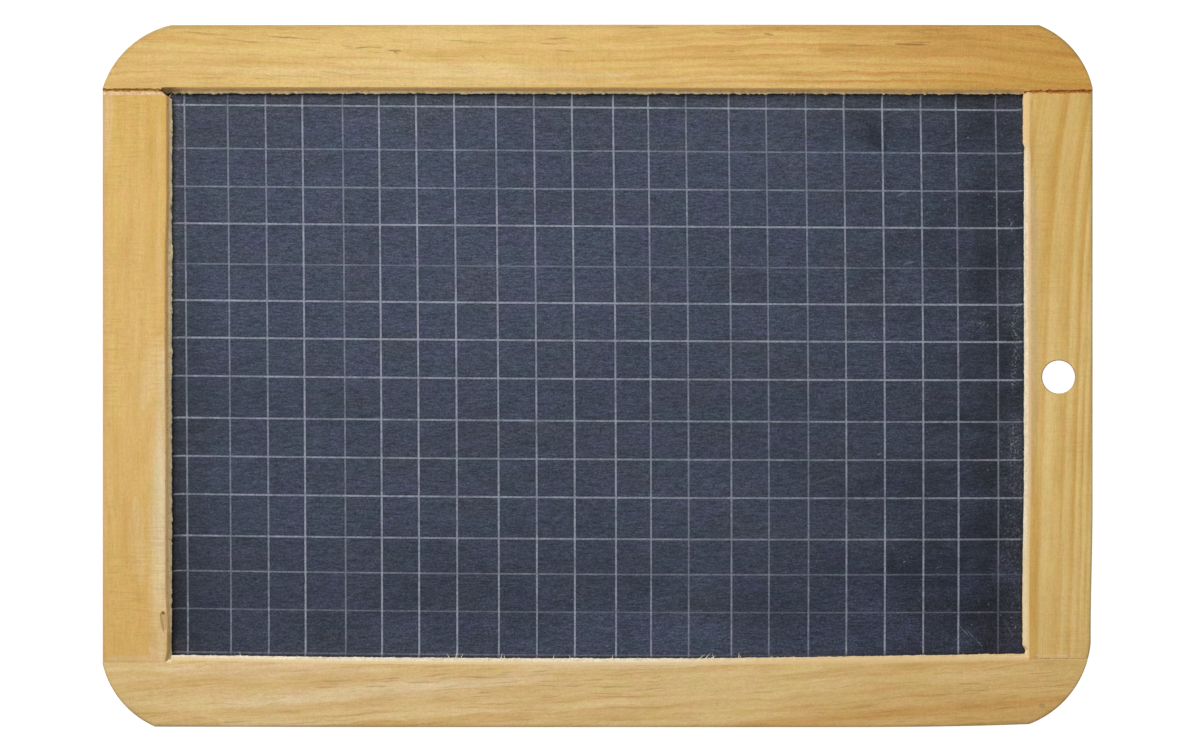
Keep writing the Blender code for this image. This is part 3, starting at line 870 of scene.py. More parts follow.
def rail(name, end):
    lip, outer = (in_top, y_top) if end > 0 else (in_bottom, y_bottom)
    # below, the rail's bevel runs on to a mitre with the stiles' bevels
    open_l, open_r = (CUT_END, OPEN_R) if end > 0 else (OPEN_L - 1.42, OPEN_R + 1.28)
    left, right = ("tl", "tr") if end > 0 else ("bl", "br")

    def inside(x):
        """1 in the corner joints, 0 in the opening."""
        return np.clip((open_l - x) / STEP, 0, 1), np.clip((x - open_r) / STEP, 0, 1)

    def cope(x):
        """1 where the lower left stile's bevel runs on past the rail's lip."""
        return smooth(OPEN_L + 0.02, OPEN_L - 0.28, x)

    def edge_of(x):
        if end < 0:
            return lip(x) - 1.12 * cope(x)
        return np.maximum(lip(x), np.minimum(cut_line(x) + 0.14, JOINT["tl"]["butt"] - 0.05))

    def inner(x):
        a, b = inside(x)
        y = edge_of(x)
        ragged = 0.2 * np.maximum(0, layered(x, 521, 0.75, 3, 0.75)) if end > 0 else 0.0
        ragged = ragged * (1 - 0.9 * np.exp(-(((x - 115.7) / 0.8) ** 2)))
        return y + a * (JOINT[left]["butt"] + ragged - y) + b * (JOINT[right]["butt"] + ragged - y)

    extra = [MORTISE_L, MORTISE_R, open_l, open_l - STEP, open_r, open_r + STEP]
    extra += [-112.8, -112.6, -112.4, -112.25, -112.1, -111.95, -110.6, -110.5, -110.42, -110.35, -110.28]
    limits = []
    for key, s in ((left, -1), (right, 1)):
        cx, cy, r = ARC[key]
        tip = HALF_W - abs(cx)
        reach = np.linspace(tip * 0.8, min(tip, r) - 1e-3, 400)
        width = end * (outer(cx + s * reach) - inner(cx + s * reach))
        reach = float(reach[width > 0.3].max())
        limits.append(cx + s * reach)
        for a in np.radians(np.arange(20, 90, 2.0)):
            if r * math.sin(a) < reach:
                extra.append(cx + s * r * math.sin(a))
    extra += limits
    xs = stations(limits[0], limits[1], 0.34, extra)
    y_in = inner(xs)
    u_out = np.abs(outer(xs) - y_in)
    at_l, at_r = inside(xs)
    joint = at_l + at_r
    chip = at_l * JOINT[left]["chip"] * tightness(left, xs) + at_r * JOINT[right]["chip"] * tightness(right, xs)
    chip = np.maximum(chip, 0.025 * joint)
    if end > 0:
        bevel = CHAMFER - 0.2 - 0.24 * smooth(0, 100, xs) - (edge_of(xs) - lip(xs))
        rag_f = rag_of(xs, 101, 0.28, 0.2)
        arris = CRISP
    else:
        bevel = 1.28 - 0.2 * smooth(-60, -105, xs) + 0.05 * layered(xs, 141, 30, 2) - 0.38 * cope(xs)
        rag_f = rag_of(xs, 131, 0.14, 0.1)
        arris = SOFT
    bevel = bevel * (1 - joint) + chip
    rag_f = rag_f * (1 - joint)
    rag_b = rag_of(xs, 171 if end > 0 else 191, 0.12) * (1 - joint)
    ff = profile_front(u_out, np.linspace(0, 1, 5), rag_f, bevel, arris)
    bb = profile_front(u_out, np.linspace(0, 1, 4), rag_b, CHAMFER * (1 - joint) + 0.12 * joint, CRISP)
    deep = np.minimum(np.abs((FLOOR_TOP if end > 0 else FLOOR_BOTTOM) - y_in), u_out * 0.6)
    m = Mesh()

    # rub: how dark the outer edge is painted, wear together with painted shade
    rub = edge_dark_at(xs, np.full(len(xs), end * 91.0))

    def row(u, z, worn=0.0):
        return m.points(np.c_[xs, y_in + end * u, z], worn * rub)

    front = [row(*r) for r in ff]
    back = [row(u, T - z, w) for u, z, w in bb]
    side_mid = row(u_out, np.full(len(xs), MID))
    g_top = row(deep, np.full(len(xs), Z_GT))
    g_bot = row(deep, np.full(len(xs), Z_GB))
    i0 = int(np.argmin(abs(xs - MORTISE_L)))
    i1 = int(np.argmin(abs(xs - MORTISE_R)))
    j0 = int(np.argmin(abs(xs - (open_l - STEP))))
    j1 = int(np.argmin(abs(xs - (open_r + STEP))))
    for half, torn_to in ((front, 4 + len(arris)), (back, 6)):
        for j in range(len(half) - 1):
            if j < torn_to:
                m.strip(half[j][: j0 + 1], half[j + 1][: j0 + 1], 2)
                m.strip(half[j][j0 : j1 + 1], half[j + 1][j0 : j1 + 1], 1)
                m.strip(half[j][j1:], half[j + 1][j1:], 4)
            else:
                m.strip(half[j], half[j + 1], 0)
    m.strip(front[0], g_top, 1)
    m.strip(back[0], g_bot, 1)
    web = slice(i0, i1 + 1)
    m.strip(front[-1][web], side_mid[web])
    m.strip(side_mid[web], back[-1][web])
    m.strip(g_top[web], g_bot[web], 1)
    for part in (slice(0, i0 + 1), slice(i1, len(xs))):
        m.strip(front[-1][part], g_top[part])
        m.strip(back[-1][part], g_bot[part])
    for i in (i0, i1):
        m.face((g_top[i], front[-1][i], side_mid[i], back[-1][i], g_bot[i]))
    for i in (0, len(xs) - 1):
        m.face([h[i] for h in front] + [g_top[i]])
        m.face([h[i] for h in back] + [g_bot[i]])
    skins = [looks[name], looks[name + "_raw"], looks[left], looks["fringe"], looks[right], looks["fibre"]]
    obj = m.object(name + "_wood", skins)
    for key, (bx, by) in BRADS.items():
        if by * end > 0:
            carve(
                obj,
                lathe(
                    "drill",
                    [(0, 1.2), (1.36, 1.2), (1.42, 0.35), (1.62, 0.0), (1.62, -1.0), (0, -1.0)],
                    bx, by, 28,
                ),
            )
    hairs = Mesh()
    rng = np.random.RandomState(5 if end > 0 else 6)
    if end > 0:
        # short hanging fuzz, thickest right of the middle
        for x in np.concatenate([rng.uniform(-108, 108, 80), rng.uniform(48, 82, 70)]):
            skin = 3 if 48 < x < 84 and rng.uniform() < 0.6 else 1
            sliver(
                hairs, (x, float(lip(x)) + 0.25, Z_CH - rng.uniform(0.0, 0.6)),
                (rng.uniform(-0.9, 0.9), -1, rng.uniform(-0.1, 0.25)),
                rng.uniform(0.35, 0.75), rng.uniform(0.04, 0.08), rng.uniform(-0.2, 0.2), skin,
            )
    else:
        for x, size, lean in LOWER_HAIRS:
            sliver(
                hairs, (x, float(lip(x)) - 0.35, Z_CH + 0.25), (lean, 1, 0.1),
                size + 0.5, 0.11, rng.uniform(-0.35, 0.35), 5,
            )
        for x in rng.uniform(-108, 108, 90):
            sliver(
                hairs, (x, float(lip(x)) - 0.25, Z_CH + rng.uniform(-0.1, 0.3)),
                (rng.uniform(-1.2, 1.2), 1, rng.uniform(-0.1, 0.2)),
                rng.uniform(0.35, 0.75), rng.uniform(0.05, 0.09), rng.uniform(-0.2, 0.2), 5,
            )
    graft(obj, hairs)
    return obj


def stile(name, side):
    inner, outer = (in_left, x_left) if side < 0 else (in_right, x_right)
    top_key, bottom_key = ("tl", "bl") if side < 0 else ("tr", "br")
    top, low = JOINT[top_key], JOINT[bottom_key]
    top_y, low_y = top["end"], low["end"]
    ys = stations(low_y + 1.4, top_y - 2.6, 0.4)
    ys = ys[ys < top_y - 3.4] if side < 0 else ys
    ys = np.concatenate([[low_y, low_y + 0.6], ys, [top_y - (2.9 if side < 0 else 1.9), top_y - 1.2, top_y]])
    x_in = inner(ys)
    u_out = np.abs(outer(ys) - x_in)
    if side < 0:
        rag_f = rag_of(ys, 211, 0.24, 0.35)
        bevel = 1.40 + 0.27 * smooth(45, 32, ys) - 0.12 * smooth(4, -18, ys) - 0.42 * smooth(-54, -66, ys) + 0.36 * smooth(-71.0, -73.6, ys)
        floor_x = FLOOR_L
    else:
        rag_f = rag_of(ys, 251, 0.13, 0.25, 0.7)
        rag_f = rag_f + 1.3 * (smooth(-69.7, -71.1, ys) - smooth(-71.8, -72.05, ys))
        rag_f = rag_f - 0.26 * smooth(59.0, 60.2, ys) + 0.3 * np.exp(-(((ys - 59.0) / 0.7) ** 2))
        bevel = 1.54 - 0.32 * smooth(57.0, 60.5, ys) + 0.05 * layered(ys, 261, 30, 2)
        floor_x = FLOOR_R
    ends = np.minimum(smooth(low_y, low_y + 1.6, ys), smooth(top_y, top_y - 1.6, ys))
    rag_f = rag_f * ends
    deep = np.abs(floor_x - x_in)
    rag_b = rag_of(ys, 291 if side < 0 else 311, 0.1) * ends
    ff = profile_front(u_out, np.linspace(0, 1, 38), rag_f, bevel, CRISP, deep)
    bb = profile_front(u_out, np.linspace(0, 1, 7), rag_b, CHAMFER, CRISP, deep)
    gate = 9  # the row that stands over the groove's floor
    # rub: how dark the outer edge is painted, wear together with painted shade
    rub = edge_dark_at(np.full(len(ys), side * 128.0), ys)
    m = Mesh()

    def shoulder(u, front_side):
        """The two square ends of the stile at one distance from its inner edge."""
        t, b = top_y, low_y
        if side < 0 and front_side:
            t = min(t, cut_line(float(x_in[-1]) - u) + 0.05 * float(layered(u, 431, 0.6, 2)))  # corner broken off
        return t, b

    def worn_back(u, z, end, key):
        """How far the front corner of an end is worn away."""
        up = float(np.clip((z - (T - end["down"])) / end["down"], 0, 1))
        x = float(x_in[-1] + side * u)
        fray = {"tl": 0.32, "tr": 0.26, "bl": 0.01, "br": 0.01}[key]
        worn = up * max(0.0, end["back"] * float(tightness(key, x)) + fray * float(layered(u, 401 + ord(key[1]), 1.0, 3, 0.8)))
        return worn

    def row(u, z, worn=0.0, front_side=True):
        y = ys.astype(float).copy()
        v, w = float(u[-1]), float(u[0])
        y[-1], y[0] = shoulder(v, front_side)[0], shoulder(w, front_side)[1]
        fringe = 0.3
        if front_side:
            y[-1] -= worn_back(v, float(z[-1]), top, top_key)
            y[0] += worn_back(w, float(z[0]), low, bottom_key)
            fringe = 0.42 + 0.26 * float(layered(v, 471 + side, 1.2, 3, 0.7))
        y[-2] = min(y[-2], y[-1] - fringe)
        y[-3] = min(y[-3], y[-2] - 0.25)
        y[1] = max(y[1], y[0] + 0.3)
        return m.points(np.c_[x_in + side * u, y, z], worn * rub)

    front = [row(*r) for r in ff]
    back = [row(u, T - z, w, False) for u, z, w in bb]
    full = np.ones(len(ys))
    mids = {
        "gt": row(deep, Z_GT * full),
        "tt": row(deep, (MID + TENON_HALF) * full),
        "tb": row(deep, (MID - TENON_HALF) * full),
        "gb": row(deep, Z_GB * full),
        "st": row(u_out, (MID + TENON_HALF) * full),
        "sb": row(u_out, (MID - TENON_HALF) * full),
    }
    for half in (front, back):
        for j in range(len(half) - 1):
            if half is front and 6 <= j < len(half) - 6 and side < 0:
                # torn pale fringe at the open joint
                m.strip(half[j][:-1], half[j + 1][:-1], 0)
                m.strip(half[j][-2:], half[j + 1][-2:], 3)
            else:
                m.strip(half[j], half[j + 1], 1 if j < 6 else 0)
    m.strip(front[0][1:-1], mids["gt"][1:-1], 1)
    m.strip(mids["gt"], mids["tt"], 1)
    m.strip(mids["tt"], mids["tb"], 1)
    m.strip(mids["tb"], mids["gb"], 1)
    m.strip(mids["gb"][1:-1], back[0][1:-1], 1)
    m.strip(front[-1], mids["st"])
    m.strip(mids["st"], mids["sb"])
    m.strip(mids["sb"], back[-1])

    # shoulders and tenons
    for i, sgn, key, skin in ((-1, 1, top_key, 2), (0, -1, bottom_key, 4)):
        cx, cy, r = ARC[key]
        xi = float(x_in[i])
        uo = float(u_out[i])
        roots = {}
        for half, prof, zt_, zg_, mid_key, groove_key, side_key, zc in (
            (front, ff, MID + TENON_HALF, Z_GT, "tt", "gt", "st", T - JOINT[key]["down"]),
            (back, bb, MID - TENON_HALF, Z_GB, "tb", "gb", "sb", 1.0),
        ):
            n = len(half)
            cols = list(range(2, n - 2))  # bevel, face and rounding rows
            crease, root = [], []
            for j in cols:
                u = float(prof[j][0][i])
                y = shoulder(u, half is front)[0 if sgn > 0 else 1]
                if j == 2:
                    crease.append(half[2][i])
                    root.append(half[0][i])
                    continue
                if j == n - 3:
                    crease.append(half[n - 2][i])
                    root.append(mids[side_key][i])
                    continue
                under = prof[j][1][i] < (zc if half is front else T - zc) + 0.02
                crease.append(half[j][i] if under else m.points([(xi + side * u, y, zc)])[0])
                if j == gate:
                    root.append(mids[mid_key][i])
                else:
                    root.append(m.points([(xi + side * u, y, zg_ if j < gate else zt_)])[0])
            m.strip([half[j][i] for j in cols], crease, skin)
            for q in range(len(cols) - 1):
                ids = [crease[q], crease[q + 1], root[q + 1], root[q]]
                if cols[q + 1] == gate:
                    ids = [crease[q], crease[q + 1], root[q + 1], mids[groove_key][i], root[q]]
                elif cols[q] == 2:
                    ids = [crease[q], crease[q + 1], root[q + 1], root[q], half[1][i]]
                elif cols[q + 1] == n - 3:
                    ids = [crease[q], crease[q + 1], half[n - 1][i], root[q + 1], root[q]]
                m.face(ids, skin)
            start = cols.index(gate)
            # the groove's wall ends on the shoulder's own points
            near = -2 if sgn > 0 else 1
            lip = root[:start] + [mids[groove_key][i]]
            m.face(lip + [mids[groove_key][near], half[0][near]], 1)
            # tenon cheek, from the shoulder to the rounded end
            first = [root[q] for q in range(start, len(cols))]
            if half is front:
                us = [float(prof[j][0][i]) for j in cols[start:]]
                us[-1] = uo
            rows = []
            steps = 6
            base = top_y if sgn > 0 else low_y
            ends_y = []
            for u in us:
                xx = xi + side * u
                d = min(abs(xx - cx), r * 0.999)
                ya = abs(cy) + math.sqrt(r * r - d * d)
                limit = float(y_top(xx)) if sgn > 0 else -float(y_bottom(xx))
                ends_y.append(sgn * max(min(ya, limit) - 0.05, abs(base) + 0.25))
            for t in range(1, steps + 1):
                rows.append(
                    list(
                        m.points(
                            [
                                (xi + side * u, base + (e - base) * t / steps, zt_)
                                for u, e in zip(us, ends_y)
                            ]
                        )
                    )
                )
            if half is front:
                m.strip(first, rows[0])
            else:
                m.face(first + rows[0][::-1])
            for a, b in zip(rows, rows[1:]):
                m.strip(a, b)
            roots[mid_key] = [first] + rows
        ft, bk = roots["tt"], roots["tb"]
        m.strip([r_[0] for r_ in ft], [r_[0] for r_ in bk])
        m.strip([r_[-1] for r_ in ft], [r_[-1] for r_ in bk])
        m.strip(ft[-1], bk[-1])
    skins = [looks[name], looks[name + "_raw"], looks[top_key], looks["fringe"], looks[bottom_key], looks["bore"]]
    obj = m.object(name + "_wood", skins)
    if side > 0:
        hx, hy, hr = HOLE
        carve(
            obj,
            lathe(
                "drill",
                [
                    (0, T + 2), (hr + 0.25, T + 2), (hr + 0.25, T + 0.05), (hr + 0.12, T - 0.1),
                    (hr, T - 0.35), (hr + 0.1, 5.0), (hr + 0.24, 1.0), (hr + 0.36, 0.3),
                    (hr + 0.55, -0.05), (hr + 0.55, -2), (0, -2),
                ],
                hx, hy, 72,
            ),
        )
        # the bore's wall takes the darker bore wood, painted shade inside the hole
        for f in obj.data.polygons:
            c = f.center * 1000
            if math.hypot(c.x - hx, c.y - hy) < hr + 0.5 and abs(f.normal.z) < 0.9:
                f.material_index = 5
    hairs = Mesh()
    rng = np.random.RandomState(15 + side)
    for y in rng.uniform(-69, 70, 55 if side < 0 else 60):
        sliver(
            hairs, (float(inner(y)) + side * 0.25, y, Z_CH - rng.uniform(0.0, 0.5)),
            (-side, rng.uniform(-1.5, 1.5), rng.uniform(-0.1, 0.2)),
            rng.uniform(0.3, 0.6), rng.uniform(0.04, 0.08), rng.uniform(-0.2, 0.2), 1,
        )
    if side < 0:
        sliver(hairs, (-111.4, 71.9, 8.0), (0.85, 0.75, 0.1), 1.6, 0.17, -0.2, 3)
        sliver(hairs, (-111.0, 71.5, 7.8), (0.6, -1.0, 0.0), 1.1, 0.10, 0.2, 3)
    graft(obj, hairs)
    return obj


pieces = {
    "top_rail": rail("top_rail", 1),
    "bottom_rail": rail("bottom_rail", -1),
    "left_stile": stile("left_stile", -1),
    "right_stile": stile("right_stile", 1),
}
for node, obj in pieces.items():
    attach(obj, "root")
    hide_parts(node)


# ------------------------------------------------------------------ slate panel
GAPS = (
    11.19, 9.81, 9.53, 10.43, 9.40, 9.63, 9.87, 10.80, 9.87, 9.84, 10.67,
    9.09, 9.76, 11.08, 9.71, 10.25, 9.84, 9.97, 9.97, 9.11, 10.31,
)  # between the teeth of the scoring comb, the same comb both ways
BITE = (
    0.70, 0.55, 0.66, 1.0, 0.5, 1.0, 1.0, 1.0, 0.92, 0.82, 0.95,
    0.9, 0.74, 0.66, 0.7, 0.5, 0.58, 0.76, 0.92, 0.86, 0.86, 0.55,
)  # how hard each tooth bites


def slate_look():
    k = Look("ruled_slate")
    x, y, z = k.mm()
    # lighter up left, darker to the right and below: chalk dust wiped in up left and burnishing to the right and
    # below, together with painted sheen from the lamp up left
    right = k.span(x, 20.0, 125.0)
    low = k.span(y, -15.0, -82.0)
    cloud = k.math("SUBTRACT", k.noise(x, y, z, 0.014, 0.02, 0.05, 3, 0.55, 4.0), 0.5)
    patch = k.math("SUBTRACT", k.noise(x, y, z, 0.06, 0.085, 0.05, 3, 0.6, 5.0), 0.5)
    dark = k.add(k.add(k.mul(right, 0.46), k.mul(low, 0.46)), k.mul(k.span(x, -30.0, -112.0), 0.16))
    ends = k.mul(k.mul(k.span(x, 93.0, 103.0), k.span(y, 45.0, 5.0, 0.3, 1.0)), 0.16)
    dark = k.add(dark, k.mul(ends, k.span(k.noise(x, y, z, 0.16, 0.09, 0.05, 2, 0.6, 19.0), 0.35, 0.6, 0.45, 1.15)))
    tone = k.add(k.add(dark, 0.12), k.add(k.mul(cloud, 0.5), k.mul(patch, k.math("MULTIPLY_ADD", right, 0.75, 0.35))))
    base = k.ramp(
        tone,
        [(0.0, lin(67, 75, 93)), (0.3, lin(60, 68, 85)), (0.6, lin(48, 54, 69)), (1.0, lin(32, 34, 42))],
    )
    # worn into bands across the height, with dust left along the lower edge
    band = k.grey(
        k.math("MULTIPLY_ADD", k.add(y, k.mul(cloud, 24.0)), 1 / 150.0, 0.5),
        [(0.0, 0.70), (0.05, 0.68), (0.1, 0.53), (0.16, 0.452), (0.29, 0.455), (0.34, 0.428), (0.42, 0.414), (0.5, 0.45), (0.63, 0.5)],
    )
    base = k.mix(1.0, base, k.mix(1.0, band, (2.0, 2.0, 2.0, 1.0), "MULTIPLY"), "MULTIPLY")
    # darker down the left-hand side, dusty and greyer beside the left, top and right lips; beside the left lip the
    # dust is also painted light that lifts the shadow the left stile casts there
    dim = k.mul(k.span(x, -97.0, -106.0), k.span(y, 60.0, -10.0, 0.05, 0.23))
    dim = k.add(dim, k.mul(k.span(x, -105.5, -109.0), k.span(y, 5.0, -52.0, 0.0, 0.24)))
    dim = k.add(dim, k.mul(k.mul(k.span(x, 95.0, 99.0), k.span(x, 105.5, 102.0)), 0.10))
    base = k.mix(dim, base, (0.0, 0.0, 0.0, 1.0))
    uneven = k.span(k.noise(x, y, z, 0.4, 0.16, 0.05, 3, 0.6, 23.0), 0.34, 0.6, 0.5, 1.0)
    dust_and_painted_light = k.mul(k.mul(k.span(x, -107.6, -110.2), k.span(y, -10.0, 30.0, 0.35, 1.0)), uneven)
    for p, q, w, strong in (((-109.6, 73.0), (-109.2, 56.0), 3.4, 1.0), ((-110.6, -65.6), (-107.4, -73.0), 2.8, 1.0)):
        dust_and_painted_light = k.math("MAXIMUM", dust_and_painted_light, k.mul(stroke(k, x, y, p, q, w, None, 0.2), strong))
    base = k.mix(k.mul(dust_and_painted_light, 0.75), base, k.mix(1.0, base, (2.0, 1.82, 1.62, 1.0), "MULTIPLY"))
    pale = k.mul(k.mul(k.span(x, 104.6, 108.0), k.span(y, 20.0, -15.0, 0.1, 0.45)), uneven)
    base = k.mix(pale, base, k.mix(1.0, base, (1.80, 1.76, 1.80, 1.0), "MULTIPLY"))
    grey = k.math("MAXIMUM", k.span(y, 64.0, 72.0), k.span(x, -104.0, -109.0))
    base = k.mix(grey, base, k.mix(1.0, base, (1.08, 1.0, 0.90, 1.0), "MULTIPLY"))
    # patches of browner stone
    warm = k.span(k.noise(x, y, z, 0.05, 0.11, 0.05, 3, 0.6, 6.0), 0.46, 0.7)
    base = k.mix(k.mul(warm, 0.55), base, k.mix(1.0, base, (1.10, 0.98, 0.84, 1.0), "MULTIPLY"))
    # and of bluer, greener and more violet stone
    hue = k.noise(x, y, z, 0.11, 0.17, 0.05, 3, 0.62, 20.0)
    base = k.mix(1.0, base, k.ramp(hue, [(0.32, (0.90, 1.03, 1.0)), (0.5, (1, 1, 1)), (0.66, (1.08, 0.98, 1.12))]), "MULTIPLY")
    # browner still where it was handled, beside the right-hand lip
    base = k.mix(k.mul(k.span(x, 99.0, 105.0), k.span(y, -30.0, 10.0, 0.0, 0.3)), base, k.mix(1.0, base, (1.06, 0.97, 0.92, 1.0), "MULTIPLY"))
    # cleavage: fine felted streaks along the long side
    streak = k.noise(x, y, z, 0.5, 2.1, 0.4, 3, 0.68, 7.0, 0.5)
    base = k.mix(1.0, base, k.grey(streak, [(0.30, 0.56), (0.5, 1.0), (0.70, 1.50)]), "MULTIPLY")
    long = k.noise(x, y, z, 0.06, 1.1, 0.4, 2, 0.6, 8.0)
    base = k.mix(1.0, base, k.grey(long, [(0.28, 0.88), (0.5, 1.0), (0.72, 1.12)]), "MULTIPLY")
    grain = k.noise(x, y, z, 2.0, 2.8, 0.4, 2, 0.7, 9.0)
    base = k.mix(1.0, base, k.grey(grain, [(0.30, 0.50), (0.5, 1.0), (0.70, 1.60)]), "MULTIPLY")
    pit = k.noise(x, y, z, 1.5, 2.4, 0.4, 2, 0.6, 21.0)
    base = k.mix(1.0, base, k.grey(pit, [(0.34, 0.66), (0.44, 1.0), (0.62, 1.0), (0.72, 1.22)]), "MULTIPLY")
    # slanting chalk wipes in the lower right half
    wipe = k.noise(
        k.add(k.mul(x, 0.94), k.mul(y, 0.34)), k.add(k.mul(x, -0.34), k.mul(y, 0.94)), z,
        0.11, 0.9, 0.4, 2, 0.6, 10.0, 0.4,
    )
    where = k.mul(k.span(k.noise(x, y, z, 0.03, 0.03, 0.03, 1, 0.5, 11.0), 0.48, 0.66), k.span(x, 0.0, 60.0))
    base = k.mix(k.mul(k.mul(k.span(wipe, 0.54, 0.74), where), 0.17), base, lin(112, 118, 132))
    # dust specks, more of them to the right
    v = k.noise(x, y, z, 1.15, 1.3, 0.4, 1, 0.5, 13.0)
    amount = k.mul(k.span(x, 40.0, 112.0, 0.15, 0.6), k.span(patch, -0.2, 0.2, 0.3, 1.0))
    base = k.mix(k.mul(k.span(v, 0.70, 0.76), amount), base, lin(138, 142, 150))
    # scratches
    rough_d = k.mul(k.math("SUBTRACT", grain, 0.5), 0.35)
    face = k.span(z, 4.4, 5.0)
    for p, q, w, strong in (
        ((93.8, -64.8), (96.2, -67.4), 0.18, 0.40), ((95.4, -65.4), (97.5, -67.9), 0.16, 0.35),
        ((98.2, -68.5), (99.8, -70.2), 0.18, 0.40), ((105.5, -63.4), (107.6, -67.4), 0.25, 0.14),
        ((15.2, 72.4), (18.6, 70.2), 0.15, 0.4), ((54.5, -28.5), (62.5, -25.6), 0.3, 0.14),
        ((66.0, -26.2), (70.5, -24.9), 0.24, 0.12), ((77.5, 46.5), (80.8, 48.0), 0.5, 0.26),
        ((72.5, -20.6), (73.6, -19.9), 0.22, 0.5), ((79.5, 29.0), (82.0, 29.6), 0.5, 0.3),
        ((-8.0, -20.5), (2.0, -19.0), 0.14, 0.14),
    ):
        base = k.mix(k.mul(k.mul(stroke(k, x, y, p, q, w, rough_d), strong), face), base, lin(132, 138, 148))
    # smudges
    for p, q, w, strong in (
        ((70.0, 65.5), (74.0, 58.5), 4.6, 0.7), ((-105.0, -66.5), (-103.0, -68.5), 2.6, 0.4),
        ((74.0, -50.0), (92.0, -53.5), 6.0, 0.4), ((98.0, 66.5), (102.5, 65.0), 3.2, 0.4),
        ((22.0, -59.0), (72.0, -65.0), 12.0, 0.3), ((29.0, 23.5), (49.0, 23.5), 6.5, 0.3), ((48.0, 64.0), (90.0, 62.5), 9.0, 0.2),
    ):
        base = k.mix(k.mul(k.mul(stroke(k, x, y, p, q, w, k.mul(patch, 4.0), 0.0), strong), face), base, k.mix(1.0, base, (0.36, 0.36, 0.38, 1.0), "MULTIPLY"))
    # dark handled patches down the right-hand side
    hand = k.noise(x, y, z, 0.085, 0.06, 0.05, 3, 0.6, 18.0)
    side = k.mul(k.span(x, 78.0, 102.0), k.span(y, 30.0, -10.0, 0.35, 1.0))
    base = k.mix(k.mul(k.mul(k.span(hand, 0.46, 0.66), side), 0.6), base, k.mix(1.0, base, (0.42, 0.41, 0.46, 1.0), "MULTIPLY"))
    # coarser where it is burnished
    coarse = k.noise(x, y, z, 2.0, 2.6, 0.4, 2, 0.7, 24.0)
    rubbed = k.math("MULTIPLY", k.add(right, low), 0.5, clamp=True)
    base = k.mix(rubbed, base, k.mix(1.0, base, k.grey(coarse, [(0.30, 0.35), (0.5, 0.96), (0.70, 1.95)]), "MULTIPLY"))
    base = k.mix(k.mul(k.mul(right, low), 0.9), base, k.mix(1.0, base, (1.0, 1.0, 1.2, 1.0), "MULTIPLY"))
    # rubbed speckle beside the right-hand lip
    rub = k.noise(x, y, z, 2.3, 1.7, 0.4, 2, 0.65, 16.0)
    zone = k.mul(k.mul(k.span(x, 101.0, 108.5), k.span(k.noise(x, y, z, 0.05, 0.035, 0.05, 2, 0.5, 17.0), 0.4, 0.62)), 0.3)
    for p, q, w in (((108.4, 19.0), (107.6, -3.0), 2.2), ((108.2, -12.0), (107.4, -25.0), 1.9), ((98.6, 13.4), (101.6, 13.0), 1.8), ((107.0, 42.0), (107.8, 36.0), 1.2)):
        zone = k.math("MAXIMUM", zone, k.mul(stroke(k, x, y, p, q, w, k.mul(patch, 2.5), 0.1), 0.75))
    base = k.mix(k.mul(k.mul(k.span(rub, 0.52, 0.66), zone), 0.85), base, lin(142, 144, 148))
    # never wiped or scored right under the lips: old dirt along the frame, with painted shade where the gap under the
    # lips lies in shadow
    lip = k.add(k.add(k.span(x, -10.0, -122.0, 0.0, 0.85), k.span(x, 22.0, 118.0, 0.0, 1.25)), -73.15)
    ragged = k.mul(k.math("SUBTRACT", k.noise(x, y, z, 0.9, 0.9, 0.4, 3, 0.7, 15.0), 0.5), 0.9)
    near = k.math("MINIMUM", k.math("SUBTRACT", y, lip), k.math("SUBTRACT", k.add(k.span(y, -24.0, -56.0, 0.0, -0.4), 110.55), x))
    near = k.math("MINIMUM", near, k.add(k.math("SUBTRACT", 73.1, y), 0.35))
    dirt_and_gap_shade = k.span(k.add(near, ragged), 0.25, 0.95, 0.5, 0.0)
    # scored lines, with raw pale stone in them
    n = k.t.nodes.new("ShaderNodeAttribute")
    n.attribute_name = "score"
    score = n.outputs["Fac"]
    # painted shade: a dark rim along both sides of each scored line
    base = k.mix(k.span(score, 0.0, -0.2, 0.0, 0.42), base, lin(20, 21, 26))
    slow = k.span(k.noise(x, y, z, 0.12, 0.12, 0.4, 3, 0.7, 12.0), 0.32, 0.62, 0.66, 1.1)
    wear = k.span(k.noise(x, y, z, 1.9, 1.9, 0.4, 2, 0.65, 22.0), 0.3, 0.7, 0.58, 1.3)
    cut = k.math("MULTIPLY", k.mul(score, slow), wear, clamp=True)
    raw = k.ramp(hue, [(0.35, lin(149, 158, 170)), (0.5, lin(148, 154, 169)), (0.65, lin(152, 151, 169))])
    colour = k.mix(dirt_and_gap_shade, k.mix(cut, base, raw), lin(34, 30, 28))
    height = k.add(k.mul(streak, 0.7), k.mul(grain, 0.5))
    k.bump(height, 0.25, 0.0001)
    rough = k.span(streak, 0.2, 0.8, 0.72, 0.58)
    return k.done(colour, rough, 0.25)


